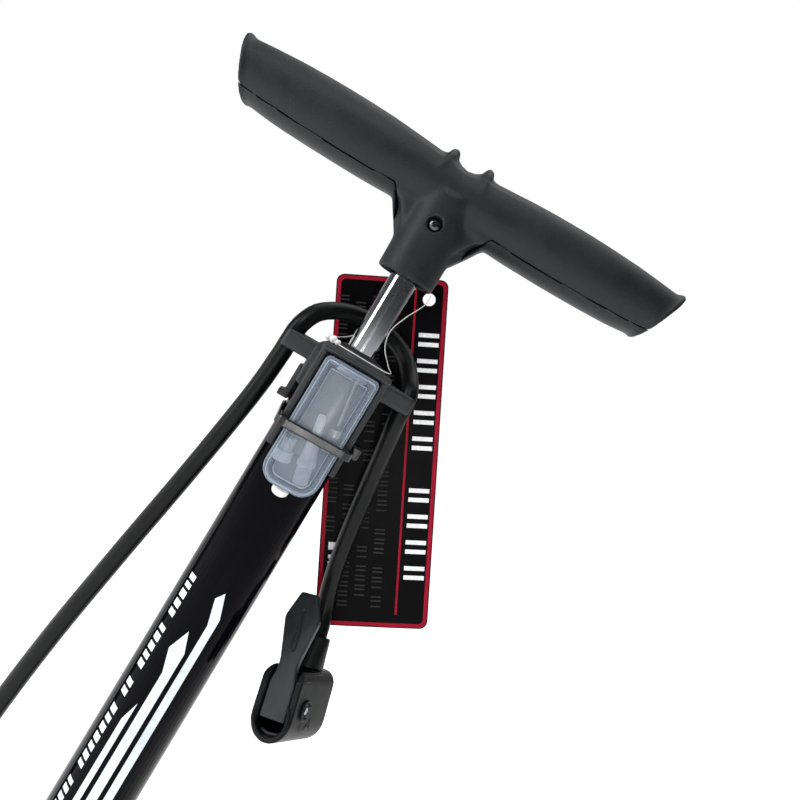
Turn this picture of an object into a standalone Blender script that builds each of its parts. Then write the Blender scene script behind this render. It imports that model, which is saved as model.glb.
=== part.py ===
"""Floor bike pump: barrel, foot base, cap with accessory box, T-handle, hose and double-headed chuck.

The pump stands on z = 0 with its barrel on the Z axis. The handle lies along X and the accessory
box faces -Y. All sizes are in metres; MM turns millimetres into metres.
"""
import math

import bmesh
import bpy
from mathutils import Matrix, Vector

MM = 0.001
GAP = 0.3 * MM                      # clearance between touching pieces
STEPS = 32                          # segments round a turned piece

# Barrel and foot
BARREL_RADIUS = 19.0 * MM
BARREL_WALL = 1.2 * MM
BARREL_BOTTOM = 30.0 * MM
BARREL_TOP = 527.0 * MM
BASE_LENGTH = 230.0 * MM
BASE_WAIST = 56.0 * MM
BASE_END_WIDTH = 84.0 * MM
BASE_THICKNESS = 8.0 * MM
PAD_HEIGHT = 3.0 * MM
PAD_RADIUS = 12.0 * MM
SOCKET_HEIGHT = 52.0 * MM

# Rod, piston and handle, in the rest position
ROD_RADIUS = 7.3 * MM
ROD_WALL = 1.2 * MM
CAP_TOP = 532.0 * MM
RIM_HEIGHT = 575.7 * MM             # lower rim of the handle's hub
GRIP_HEIGHT = 625.9 * MM            # axis of the two grips
GRIP_DEPTH = 15.5 * MM              # half of the grip's front-to-back size
SCREW_HEIGHT = 604.8 * MM
NUT_BOTTOM = 84.6 * MM
SHELL_WALL = 2.8 * MM
SEAM_INSET = 5.3 * MM               # how far the front shell stops short of the lower outline

# Cap, box and hose clips; the cap is turned a little on the barrel
CAP_TURN = math.radians(6.5)
CAP_RADIUS = 21.2 * MM
CAP_BOTTOM = 505.0 * MM
BOX_WIDTH = 27.4 * MM
BOX_BOTTOM = 464.0 * MM
BOX_TOP = 526.4 * MM
BOX_BACK = 23.6 * MM                # distance of the box's open back from the barrel's axis
BOX_FRONT = 35.0 * MM
BOX_WALL = 1.2 * MM
RAIL_BOTTOM = 477.5 * MM
CLIP_REACH = 33.0 * MM              # hose centre line from the barrel's axis, at the clips
CLIP_LOW = 517.0 * MM
CLIP_HIGH = 526.5 * MM
TIE_HEIGHT = 491.0 * MM

# Hose and chuck
HOSE_RADIUS = 4.75 * MM
CHUCK_TILT = math.radians(14.7)     # the chuck's long axis, out to the right from straight down
CHUCK_LEAN = math.radians(22.3)     # and forward, so its lower end is nearer the front
CHUCK_TURN = math.radians(25.0)     # the lever's face, round from the front to the left
CHUCK_WIDTH = 22.5 * MM
CHUCK_DEPTH = 38.0 * MM
CHUCK_HALF_HEIGHT = 17.0 * MM
CHUCK_CENTRE = Vector((62.0, 10.0, 361.4)) * MM
PIN_DROP = 0.5 * MM                 # pivot pin below the chuck's middle
PIN_FORWARD = 8.0 * MM              # pivot pin in front of the chuck's middle
PIN_RADIUS = 1.8 * MM
HOSE_BEHIND = 6.7 * MM              # hose entry behind the chuck's middle
PORTS = (("schrader", 8.4 * MM, 6.8 * MM, 3.9 * MM), ("presta", -5.4 * MM, 5.8 * MM, 3.1 * MM))

# Hang tag
TAG_WIDTH = 63.0 * MM
TAG_LENGTH = 197.0 * MM
TAG_TILT = math.radians(27.2)
TAG_HOLE = Vector((16.0, 38.5, 576.5)) * MM

# Route of the hose's centre line: up from the outlet, over behind the rod, down to the chuck
HOSE_ROUTE_MM = (
    (-46.0, 0.0, 37.0), (-46.3, 0.0, 55.0), (-50.5, 0.0, 90.0), (-57.0, 0.0, 135.0),
    (-62.5, 0.0, 185.0), (-64.8, 0.0, 235.0), (-63.2, 0.0, 285.0), (-58.3, 0.0, 335.0),
    (-50.4, -0.5, 388.0), (-41.9, -1.2, 440.0), (-35.0, -2.9, 487.0), (-33.0, -3.7, 511.0),
    (-32.8, -3.7, 521.0), (-32.2, -2.2, 530.0), (-28.6, 5.5, 539.5), (-19.5, 16.0, 546.0),
    (-7.0, 23.5, 549.0), (7.0, 26.3, 547.6), (19.5, 22.5, 542.5), (27.6, 15.6, 534.6),
    (32.0, 6.4, 527.6), (32.9, 3.9, 521.0), (33.5, 4.6, 512.0), (35.6, 10.6, 499.0),
    (38.7, 20.0, 476.6), (42.1, 24.5, 452.7), (46.1, 28.6, 429.2), (49.6, 31.2, 414.0),
    (53.2, 32.2, 402.6), (56.4, 30.0, 393.9), (57.8, 27.8, 388.5), (59.7, 24.7, 381.4), (61.3, 22.1, 375.1),
)

parts = bpy.data.collections.new("floor_bike_pump")
cutters = bpy.data.collections.new("cutters")


def clear_scene():
    for item in list(bpy.data.objects):
        bpy.data.objects.remove(item)
    bpy.context.scene.collection.children.link(parts)
    bpy.context.scene.collection.children.link(cutters)


def material(name, colour, roughness, metallic=0.0, transmission=0.0):
    found = bpy.data.materials.get(name)
    if found:
        return found
    made = bpy.data.materials.new(name)
    made.use_nodes = True
    shader = made.node_tree.nodes["Principled BSDF"]
    shader.inputs["Base Color"].default_value = (*colour, 1.0)
    shader.inputs["Roughness"].default_value = roughness
    shader.inputs["Metallic"].default_value = metallic
    shader.inputs["Transmission Weight"].default_value = transmission
    return made


def finish_part(thing, look):
    """Link a finished object among the parts and give it its material."""
    for holder in list(thing.users_collection):
        holder.objects.unlink(thing)
    parts.objects.link(thing)
    thing.data.materials.clear()
    thing.data.materials.append(look)
    if thing.type == "MESH":
        thing.data.shade_smooth()
        thing.data.set_sharp_from_angle(angle=math.radians(35.0))
    return thing


def make_cutter(thing):
    for holder in list(thing.users_collection):
        holder.objects.unlink(thing)
    cutters.objects.link(thing)
    thing.hide_render = True
    thing.display_type = "WIRE"
    return thing


def mesh_object(name, bm):
    mesh = bpy.data.meshes.new(name)
    bm.normal_update()
    bm.to_mesh(mesh)
    bm.free()
    thing = bpy.data.objects.new(name, mesh)
    parts.objects.link(thing)
    return thing


def bake(thing):
    """Turn a curve, or a mesh with modifiers, into a plain closed mesh object."""
    bpy.context.view_layer.update()
    graph = bpy.context.evaluated_depsgraph_get()
    mesh = bpy.data.meshes.new_from_object(thing.evaluated_get(graph))
    welded = bmesh.new()
    welded.from_mesh(mesh)
    bmesh.ops.remove_doubles(welded, verts=welded.verts, dist=1e-6)
    bmesh.ops.recalc_face_normals(welded, faces=welded.faces)
    welded.to_mesh(mesh)
    welded.free()
    name = thing.name
    place = thing.matrix_world.copy()
    bpy.data.objects.remove(thing)
    plain = bpy.data.objects.new(name, mesh)
    plain.matrix_world = place
    parts.objects.link(plain)
    return plain


def block(name, size, centre):
    bm = bmesh.new()
    bmesh.ops.create_cube(bm, size=1.0)
    bmesh.ops.scale(bm, vec=Vector(size), verts=bm.verts)
    thing = mesh_object(name, bm)
    thing.location = centre
    return thing


def cylinder(name, radius, low, high, centre=(0.0, 0.0), top_radius=None, segments=STEPS):
    bm = bmesh.new()
    second = radius if top_radius is None else top_radius
    bmesh.ops.create_cone(
        bm, cap_ends=True, segments=segments, radius1=radius, radius2=second, depth=high - low
    )
    thing = mesh_object(name, bm)
    thing.location = (centre[0], centre[1], 0.5 * (low + high))
    return thing


def rod_between(name, start, end, radius, segments=24):
    """A straight cylinder from start to end."""
    start = Vector(start)
    end = Vector(end)
    thing = cylinder(name, radius, 0.0, (end - start).length, segments=segments)
    thing.rotation_mode = "QUATERNION"
    thing.rotation_quaternion = (end - start).to_track_quat("Z", "Y")
    thing.location = 0.5 * (start + end)
    return thing


def turned(name, profile, steps=STEPS):
    """Turn a closed profile of (radius, height) about Z; it runs down its outer side first."""
    bm = bmesh.new()
    ring = [bm.verts.new((radius, 0.0, height)) for radius, height in profile]
    for first, second in zip(ring, ring[1:] + ring[:1]):
        bm.edges.new((first, second))
    thing = mesh_object(name, bm)
    screw = thing.modifiers.new("turn", "SCREW")
    screw.axis = "Z"
    screw.steps = steps
    screw.render_steps = steps
    screw.use_merge_vertices = True
    screw.merge_threshold = 1e-5
    return thing


def solid_of_revolution(name, profile, steps=STEPS):
    """Turn an open profile whose two ends lie on the axis."""
    bm = bmesh.new()
    ring = [bm.verts.new((radius, 0.0, height)) for radius, height in profile]
    for first, second in zip(ring, ring[1:]):
        bm.edges.new((first, second))
    thing = mesh_object(name, bm)
    screw = thing.modifiers.new("turn", "SCREW")
    screw.axis = "Z"
    screw.steps = steps
    screw.render_steps = steps
    screw.use_merge_vertices = True
    screw.merge_threshold = 1e-5
    return thing


def ring_profile(inner, outer, low, high):
    return ((outer, high), (outer, low), (inner, low), (inner, high))


def plate(name, outline, thickness, holes=()):
    """A flat outline in its own XY plane, centred on that plane, with optional holes."""
    curve = bpy.data.curves.new(name, "CURVE")
    curve.dimensions = "2D"
    curve.fill_mode = "BOTH"
    curve.extrude = 0.5 * thickness
    for loop in (outline, *holes):
        spline = curve.splines.new("POLY")
        spline.points.add(len(loop) - 1)
        for point, (across, along) in zip(spline.points, loop):
            point.co = (across, along, 0.0, 1.0)
        spline.use_cyclic_u = True
    thing = bpy.data.objects.new(name, curve)
    parts.objects.link(thing)
    return thing


def tube(name, points, radius, resolution=3, cyclic=False):
    curve = bpy.data.curves.new(name, "CURVE")
    curve.dimensions = "3D"
    curve.bevel_depth = radius
    curve.bevel_resolution = resolution
    curve.use_fill_caps = not cyclic
    spline = curve.splines.new("POLY")
    spline.points.add(len(points) - 1)
    for point, place in zip(spline.points, points):
        point.co = (*place, 1.0)
    spline.use_cyclic_u = cyclic
    thing = bpy.data.objects.new(name, curve)
    parts.objects.link(thing)
    return thing


def boolean(thing, other, operation):
    change = thing.modifiers.new(operation.lower(), "BOOLEAN")
    change.operation = operation
    change.solver = "EXACT"
    change.object = other
    make_cutter(other)
    return thing


def cut(thing, *others):
    for other in others:
        boolean(thing, other, "DIFFERENCE")
    return thing


def join(thing, *others):
    for other in others:
        boolean(thing, other, "UNION")
    return thing


def bevel(thing, width, segments=2, angle=40.0):
    change = thing.modifiers.new("edge", "BEVEL")
    change.width = width
    change.segments = segments
    change.limit_method = "ANGLE"
    change.angle_limit = math.radians(angle)
    return thing


def arc(centre, radius, start, end, count):
    """Points round an arc, angles in degrees, both ends included."""
    points = []
    for step in range(count + 1):
        angle = math.radians(start + (end - start) * step / count)
        points.append((centre[0] + radius * math.cos(angle), centre[1] + radius * math.sin(angle)))
    return points


def rounded_rectangle(width, height, radius, steps=5, centre=(0.0, 0.0)):
    across = 0.5 * width - radius
    along = 0.5 * height - radius
    points = []
    corners = ((across, along, 0), (-across, along, 90), (-across, -along, 180), (across, -along, 270))
    for x, y, start in corners:
        points += arc((centre[0] + x, centre[1] + y), radius, start, start + 90, steps)
    return points


def smooth_path(points, spacing, cyclic=False):
    """Points at even spacing along a Catmull-Rom curve through the given points."""
    route = [Vector(point) for point in points]
    padded = [2 * route[0] - route[1]] + route + [2 * route[-1] - route[-2]]
    dense = []
    for index in range(1, len(padded) - 2):
        before, start, end, after = padded[index - 1:index + 3]
        for step in range(24):
            u = step / 24
            dense.append(0.5 * (
                2 * start + (end - before) * u + (2 * before - 5 * start + 4 * end - after) * u * u
                + (3 * start - before - 3 * end + after) * u ** 3
            ))
    dense.append(route[-1])
    lengths = [0.0]
    for first, second in zip(dense, dense[1:]):
        lengths.append(lengths[-1] + (second - first).length)
    count = max(2, round(lengths[-1] / spacing))
    even = []
    index = 0
    for step in range(count + 1):
        target = lengths[-1] * step / count
        while index < len(lengths) - 2 and lengths[index + 1] < target:
            index += 1
        share = (target - lengths[index]) / (lengths[index + 1] - lengths[index])
        even.append(dense[index].lerp(dense[index + 1], min(1.0, max(0.0, share))))
    return even


def loft(name, sections):
    """Skin closed rings of equal length, with a flat cap at both ends."""
    bm = bmesh.new()
    rings = [[bm.verts.new(point) for point in section] for section in sections]
    for first, second in zip(rings, rings[1:]):
        for index in range(len(first)):
            after = (index + 1) % len(first)
            bm.faces.new((first[index], first[after], second[after], second[index]))
    bm.faces.new(list(reversed(rings[0])))
    bm.faces.new(rings[-1])
    bmesh.ops.recalc_face_normals(bm, faces=bm.faces)
    return mesh_object(name, bm)


def hose_path():
    return smooth_path([Vector(point) * MM for point in HOSE_ROUTE_MM], 12.0 * MM)


# Materials

BLACK_PAINT = material("gloss_black_paint", (0.006, 0.006, 0.008), 0.12)
BLACK_PLASTIC = material("matt_black_plastic", (0.020, 0.021, 0.023), 0.52)
GREY_PLASTIC = material("charcoal_plastic", (0.038, 0.040, 0.044), 0.48)
SATIN_PLASTIC = material("satin_black_plastic", (0.014, 0.014, 0.016), 0.35)
RUBBER = material("black_rubber", (0.012, 0.012, 0.013), 0.60)
STEEL = material("polished_steel", (0.55, 0.56, 0.58), 0.12, 1.0)
ZINC = material("zinc_plate", (0.62, 0.62, 0.60), 0.30, 1.0)
BLACK_STEEL = material("black_steel", (0.03, 0.03, 0.03), 0.25, 0.8)
CLEAR = material("clear_plastic", (0.86, 0.90, 0.95), 0.08, 0.0, 0.9)
FROSTED = material("frosted_plastic", (0.85, 0.88, 0.92), 0.40, 0.0, 0.4)
NYLON = material("clear_nylon", (0.85, 0.86, 0.86), 0.25, 0.0, 0.6)
CARD = material("printed_card", (0.012, 0.011, 0.016), 0.35)


# Foot and outlet

def base_outline():
    """A bow-tie with round ends: narrow at the barrel, wide under each foot."""
    half = 0.5 * BASE_LENGTH
    end_radius = 26.0 * MM
    upper = []
    for step in range(13):
        x = -half + end_radius + (BASE_LENGTH - 2 * end_radius) * step / 12
        share = abs(x) / (half - end_radius)
        upper.append((x, 0.5 * (BASE_WAIST + (BASE_END_WIDTH - BASE_WAIST) * share ** 1.6)))
    corner = 0.5 * BASE_END_WIDTH - end_radius
    right = arc((half - end_radius, corner), end_radius, 75, 0, 5)
    right += arc((half - end_radius, -corner), end_radius, 0, -75, 5)
    lower = [(x, -y) for x, y in reversed(upper)]
    left = [(-x, y) for x, y in reversed(right)]
    return upper + right + lower + left


def foot_base():
    low = PAD_HEIGHT + GAP
    base = plate("foot_base", base_outline(), BASE_THICKNESS)
    base.location = (0.0, 0.0, low + 0.5 * BASE_THICKNESS)
    base = bevel(bake(base), 1.6 * MM)
    hub = cylinder("base_hub", 30.0 * MM, low + 2.0 * MM, SOCKET_HEIGHT, top_radius=25.0 * MM)
    join(base, bevel(hub, 1.2 * MM))
    for side in (-1, 1):
        for lean in (-1, 1):
            rib_outline = (
                (20.0 * MM, 8.0 * MM), (72.0 * MM, 8.0 * MM), (70.0 * MM, 13.0 * MM), (22.0 * MM, 46.0 * MM),
            )
            rib = bake(plate("base_rib", rib_outline, 4.0 * MM))
            spread = math.radians(24.0) * lean
            turn = 0.0 if side > 0 else math.pi
            rib.matrix_world = Matrix.Rotation(turn + spread, 4, "Z") @ Matrix.Rotation(0.5 * math.pi, 4, "X")
            join(base, rib)
    socket = cylinder("base_socket", BARREL_RADIUS + GAP, BARREL_BOTTOM - GAP, SOCKET_HEIGHT + 5.0 * MM)
    chamber = cylinder("base_chamber", 9.0 * MM, 12.0 * MM, BARREL_BOTTOM, segments=32)
    outlet = rod_between("base_outlet", (0.0, 0.0, 18.0 * MM), (-45.0 * MM, 0.0, 18.0 * MM), 4.8 * MM)
    cut(base, socket, chamber, outlet)
    return finish_part(base, BLACK_PLASTIC)


def foot_pads():
    for index, (x, y) in enumerate(((-88, -24), (-88, 24), (88, -24), (88, 24))):
        pad = cylinder("foot_pad_%d" % (index + 1), PAD_RADIUS, 0.0, PAD_HEIGHT, (x * MM, y * MM), segments=20)
        finish_part(bevel(pad, 0.6 * MM, 1), RUBBER)


def tread_pads():
    low = PAD_HEIGHT + GAP + BASE_THICKNESS + GAP
    for name, side in (("tread_pad_left", -1), ("tread_pad_right", 1)):
        pad = bake(plate(name, rounded_rectangle(32.0 * MM, 56.0 * MM, 8.0 * MM, 4), 2.2 * MM))
        pad.location = (side * 92.0 * MM, 0.0, low + 1.1 * MM)
        finish_part(bevel(pad, 0.5 * MM, 1), RUBBER)


def air_outlet():
    path = [Vector((x, 0.0, 18.0)) * MM for x in (-12.0, -20.0, -28.0, -36.0)]
    path += [Vector((x, 0.0, z)) * MM for x, z in arc((-36.0, 28.0), 10.0, 270, 180, 6)[1:]]
    path.append(Vector((-46.0, 0.0, 36.5)) * MM)
    elbow = bake(tube("outlet_elbow", path, 4.4 * MM, 4))
    finish_part(elbow, ZINC)
    nut = cylinder("outlet_nut", 6.3 * MM, 0.0, 4.6 * MM, segments=6)
    nut.rotation_euler = (0.0, -0.5 * math.pi, 0.0)
    nut.location = (-32.4 * MM, 0.0, 18.0 * MM)
    bore = rod_between("nut_bore", (-20.0 * MM, 0.0, 18.0 * MM), (-40.0 * MM, 0.0, 18.0 * MM), 4.4 * MM + GAP)
    finish_part(cut(nut, bore), ZINC)
    ferrule = turned("hose_ferrule", (
        (6.9 * MM, 52.0 * MM), (7.2 * MM, 50.0 * MM), (7.2 * MM, 34.0 * MM), (6.8 * MM, 33.0 * MM),
        (5.15 * MM, 33.0 * MM), (5.15 * MM, 52.0 * MM),
    ), 32)
    ferrule.location = (-46.0 * MM, 0.0, 0.0)
    finish_part(bake(ferrule), ZINC)


def foot_valve():
    seat = turned("valve_seat", (
        (17.4 * MM, 40.0 * MM), (17.4 * MM, 36.4 * MM), (15.6 * MM, 36.4 * MM), (15.6 * MM, 34.0 * MM),
        (17.4 * MM, 34.0 * MM), (17.4 * MM, 30.6 * MM), (8.6 * MM, 30.6 * MM), (8.6 * MM, 23.5 * MM),
        (5.2 * MM, 23.5 * MM), (5.2 * MM, 31.0 * MM), (2.5 * MM, 31.0 * MM), (2.5 * MM, 40.0 * MM),
    ))
    finish_part(seat, BLACK_PLASTIC)
    bpy.ops.mesh.primitive_torus_add(
        major_radius=16.65 * MM, minor_radius=0.95 * MM, major_segments=32, minor_segments=6
    )
    ring = bpy.context.object
    ring.name = "valve_seat_oring"
    ring.location = (0.0, 0.0, 35.2 * MM)
    finish_part(ring, RUBBER)
    bm = bmesh.new()
    bmesh.ops.create_uvsphere(bm, u_segments=16, v_segments=8, radius=4.0 * MM)
    ball = mesh_object("check_ball", bm)
    ball.location = (0.0, 0.0, 27.5 * MM)
    finish_part(ball, STEEL)
    turns = 5
    low = 13.2 * MM
    high = 22.9 * MM
    points = []
    for step in range(turns * 10 + 1):
        angle = 2 * math.pi * step / 10
        rise = low + (high - low) * step / (turns * 10)
        points.append((3.3 * MM * math.cos(angle), 3.3 * MM * math.sin(angle), rise))
    finish_part(bake(tube("check_spring", points, 0.4 * MM, 0)), ZINC)


def barrel():
    inner = BARREL_RADIUS - BARREL_WALL
    thing = turned("barrel_tube", ring_profile(inner, BARREL_RADIUS, BARREL_BOTTOM, BARREL_TOP), 48)
    finish_part(thing, BLACK_PAINT)


# Piston and rod

def piston():
    nut = cylinder("piston_nut", 7.4 * MM, NUT_BOTTOM, NUT_BOTTOM + 4.6 * MM, segments=6)
    bore = cylinder("piston_nut_bore", 4.0 * MM + GAP, NUT_BOTTOM - MM, NUT_BOTTOM + 6.0 * MM, segments=24)
    finish_part(cut(nut, bore), ZINC)
    low = NUT_BOTTOM + 4.9 * MM
    washer = turned("piston_washer", ring_profile(4.3 * MM, 9.5 * MM, low, low + 1.2 * MM), 32)
    finish_part(washer, ZINC)
    low += 1.5 * MM
    carrier = turned("piston_carrier", (
        (17.2 * MM, low + 16.0 * MM), (17.2 * MM, low + 9.8 * MM), (14.5 * MM, low + 9.8 * MM),
        (14.5 * MM, low + 6.2 * MM), (17.2 * MM, low + 6.2 * MM), (17.2 * MM, low),
        (4.3 * MM, low), (4.3 * MM, low + 7.0 * MM), (7.7 * MM, low + 7.0 * MM), (7.7 * MM, low + 16.0 * MM),
    ))
    finish_part(carrier, GREY_PLASTIC)
    bpy.ops.mesh.primitive_torus_add(
        major_radius=16.15 * MM, minor_radius=1.45 * MM, major_segments=32, minor_segments=8
    )
    seal = bpy.context.object
    seal.name = "piston_seal"
    seal.location = (0.0, 0.0, low + 8.0 * MM)
    finish_part(seal, RUBBER)
    foot = low + 7.4 * MM
    stud = solid_of_revolution("rod_stud", (
        (0.0, foot + 12.0 * MM), (5.7 * MM, foot + 12.0 * MM), (5.7 * MM, foot), (4.0 * MM, foot),
        (4.0 * MM, NUT_BOTTOM - 1.0 * MM), (0.0, NUT_BOTTOM - 1.0 * MM),
    ), 32)
    finish_part(stud, ZINC)
    top = SCREW_HEIGHT + 9.0 * MM
    inner = ROD_RADIUS - ROD_WALL
    rod = turned("piston_rod", ring_profile(inner, ROD_RADIUS, foot, top), STEPS)
    hole = rod_between(
        "rod_hole", (0.0, -20.0 * MM, SCREW_HEIGHT), (0.0, 20.0 * MM, SCREW_HEIGHT), 2.3 * MM, 16
    )
    finish_part(cut(rod, hole), STEEL)
    low += 16.4 * MM
    bumper = turned("rod_bumper", ring_profile(ROD_RADIUS + GAP, 11.0 * MM, low, low + 6.0 * MM), 32)
    finish_part(bumper, RUBBER)


# Handle

GRIP_TIP = 128.0                    # half of the handle's length along its top, in mm
SLANT_START = 98.0                  # the rings lean towards the slanted end from here, in mm
GRIP_SIDES = 22
HUB_STEPS = 40


def grip_top(x):
    """Height of the grip's top over its axis; the two peaks flank the rod."""
    swell = 17.5 - 0.00098 * (x - 68.0) ** 2
    dip = -1.1 * math.exp(-(x / 7.5) ** 2)
    peak = 4.4 * math.exp(-((x - 9.6) / 2.4) ** 2)
    lip = 1.7 * math.exp(-((x - 127.0) / 2.6) ** 2)
    return swell + dip, peak, lip


def grip_bottom(x):
    lip = 1.1 * math.exp(-((x - GRIP_TIP) / 4.0) ** 2)
    return 17.8 - 0.00055 * (x - 55.0) ** 2, lip


def grip_end(height):
    """How far out the slanted end of the grip lies at a height over the grip's axis."""
    return GRIP_TIP - 13.4 * (16.5 - min(17.0, height)) / 33.0


def grip_section(x, side, shrink=0.0, count=GRIP_SIDES):
    """One ring of the grip at distance x (mm) from the middle."""
    top, peak, lip_top = grip_top(x)
    bottom, lip_bottom = grip_bottom(x)
    depth = GRIP_DEPTH / MM - 0.00022 * (x - 62.0) ** 2
    points = []
    for step in range(count):
        angle = 2 * math.pi * step / count
        up = math.cos(angle)
        across = math.sin(angle)
        power = 2.0 / 2.25
        reach_up = abs(up) ** power * (1 if up > 0 else -1)
        reach_across = abs(across) ** power * (1 if across > 0 else -1)
        z = reach_up * ((top + lip_top if up > 0 else bottom + lip_bottom) - shrink)
        z += peak * max(0.0, up) ** 4 if shrink == 0.0 else 0.0
        y = reach_across * (depth + 0.6 * lip_top - shrink)
        reach = x
        if x > SLANT_START:
            reach += (x - SLANT_START) * (grip_end(z) - GRIP_TIP) / (GRIP_TIP - SLANT_START)
        points.append((side * reach * MM, y * MM, GRIP_HEIGHT + z * MM))
    return points


def grip_stations():
    fine = [0.0, 4.0, 6.8, 8.2, 9.6, 11.0, 12.6, 16.0]
    coarse = [24.0, 36.0, 50.0, 64.0, 78.0, 92.0, 104.0, 114.0]
    return fine + coarse + [120.0, 123.0, 125.5, 127.2, GRIP_TIP]


def grip_bar(name):
    """The whole bar, from the left end to the right end."""
    stations = grip_stations()
    sections = [grip_section(x, -1) for x in reversed(stations[1:])]
    right = [grip_section(x, 1) for x in stations]
    return loft(name, sections + right)


def grip_cavity(name, side):
    stations = (22.0, 46.0, 70.0, 94.0, 112.0)
    return loft(name, [grip_section(x, side, SHELL_WALL / MM, 16) for x in stations])


def gusset(name, inset, front, back):
    """The webs between hub and grips, as one plate in the XZ plane."""
    outline = (
        (-15.5 * MM, 591.5 * MM), (15.5 * MM, 591.5 * MM), (26.6 * MM, 608.5 * MM), (31.0 * MM, 611.0 * MM),
        (31.0 * MM, 618.0 * MM), (-31.0 * MM, 618.0 * MM), (-31.0 * MM, 611.0 * MM), (-26.6 * MM, 608.5 * MM),
    )
    shape = [(x - math.copysign(inset, x), z) for x, z in outline]
    web = bake(plate(name, shape, back - front))
    web.matrix_world = Matrix.Translation((0.0, 0.5 * (front + back), 0.0)) @ Matrix.Rotation(
        0.5 * math.pi, 4, "X"
    )
    return web


def front_region(name, grow):
    """The space of the front shell, seen from the front, grown by the running gap."""
    half = [(0.0, RIM_HEIGHT / MM - 6.0), (18.5 + grow, RIM_HEIGHT / MM - 6.0), (18.5 + grow, 594.0)]
    half.append((21.0 + grow, 605.0 - grow))
    for x in (27.5, 40.0, 60.0, 80.0, 100.0):
        bottom, lip = grip_bottom(x)
        half.append((x, GRIP_HEIGHT / MM - bottom + SEAM_INSET / MM - grow))
    half.append((119.5, GRIP_HEIGHT / MM - 10.0 - grow))
    half.append((140.0, GRIP_HEIGHT / MM - 10.0 - grow))
    half.append((140.0, 660.0))
    outline = half + [(-x, z) for x, z in reversed(half[1:])]
    front = -40.0 * MM
    back = 1.5 * MM + grow * MM
    region = bake(plate(name, [(x * MM, z * MM) for x, z in outline], back - front))
    region.matrix_world = Matrix.Translation((0.0, 0.5 * (front + back), 0.0)) @ Matrix.Rotation(
        0.5 * math.pi, 4, "X"
    )
    return region


def handle_body(name):
    """The handle as one hollow moulding, before it is split into its two shells."""
    body = grip_bar(name)
    hub = solid_of_revolution("hub_of_" + name, (
        (0.0, 622.0 * MM), (16.6 * MM, 622.0 * MM), (15.9 * MM, 600.0 * MM),
        (15.3 * MM, RIM_HEIGHT + 0.8 * MM), (14.9 * MM, RIM_HEIGHT), (0.0, RIM_HEIGHT),
    ), HUB_STEPS)
    join(body, bake(hub))
    join(body, gusset("web_of_" + name, 5.0 * MM, -8.5 * MM, 8.5 * MM))
    join(body, gusset("flange_of_" + name, 0.0, -3.5 * MM, 8.1 * MM))
    rod_space = cylinder("rod_space_of_" + name, ROD_RADIUS + GAP, 570.0 * MM, SCREW_HEIGHT + 9.5 * MM)
    recess = cylinder("recess_of_" + name, 12.4 * MM, 570.0 * MM, RIM_HEIGHT + 6.0 * MM)
    cut(body, rod_space, recess, grip_cavity("right_of_" + name, 1), grip_cavity("left_of_" + name, -1))
    cut(body, rod_between(
        "screw_way_of_" + name, (0.0, -40.0 * MM, SCREW_HEIGHT), (0.0, 12.5 * MM, SCREW_HEIGHT), 2.2 * MM, 16
    ))
    cut(body, rod_between(
        "screw_recess_of_" + name, (0.0, -40.0 * MM, SCREW_HEIGHT), (0.0, -12.6 * MM, SCREW_HEIGHT), 3.9 * MM, 24
    ))
    return body


def handle():
    front = handle_body("handle_front_shell")
    boolean(front, front_region("front_space", 0.0), "INTERSECT")
    finish_part(bake(front), BLACK_PLASTIC)
    rear = handle_body("handle_rear_shell")
    cut(rear, front_region("front_clearance", 0.35))
    finish_part(bake(rear), BLACK_PLASTIC)
    screw = solid_of_revolution("handle_screw", (
        (0.0, 26.4 * MM), (1.5 * MM, 26.4 * MM), (2.9 * MM, 25.6 * MM), (3.4 * MM, 24.6 * MM),
        (3.4 * MM, 24.2 * MM), (1.8 * MM, 24.2 * MM), (1.8 * MM, 1.0 * MM), (0.0, 0.0),
    ), 24)
    screw = bake(screw)
    screw.rotation_euler = (0.5 * math.pi, 0.0, 0.0)
    screw.location = (0.0, 11.5 * MM, SCREW_HEIGHT)
    for turn in (0.25 * math.pi, -0.25 * math.pi):
        slot = block("screw_slot", (3.2 * MM, 1.6 * MM, 0.7 * MM), (0.0, -14.4 * MM, SCREW_HEIGHT))
        slot.rotation_euler = (0.0, turn, 0.0)
        cut(screw, slot)
    finish_part(screw, BLACK_STEEL)


# Cap, clips and accessory box

def on_cap(thing):
    """Turn a piece with the cap about the barrel's axis."""
    bpy.context.view_layer.update()
    thing.matrix_world = Matrix.Rotation(CAP_TURN, 4, "Z") @ thing.matrix_world
    return thing


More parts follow.
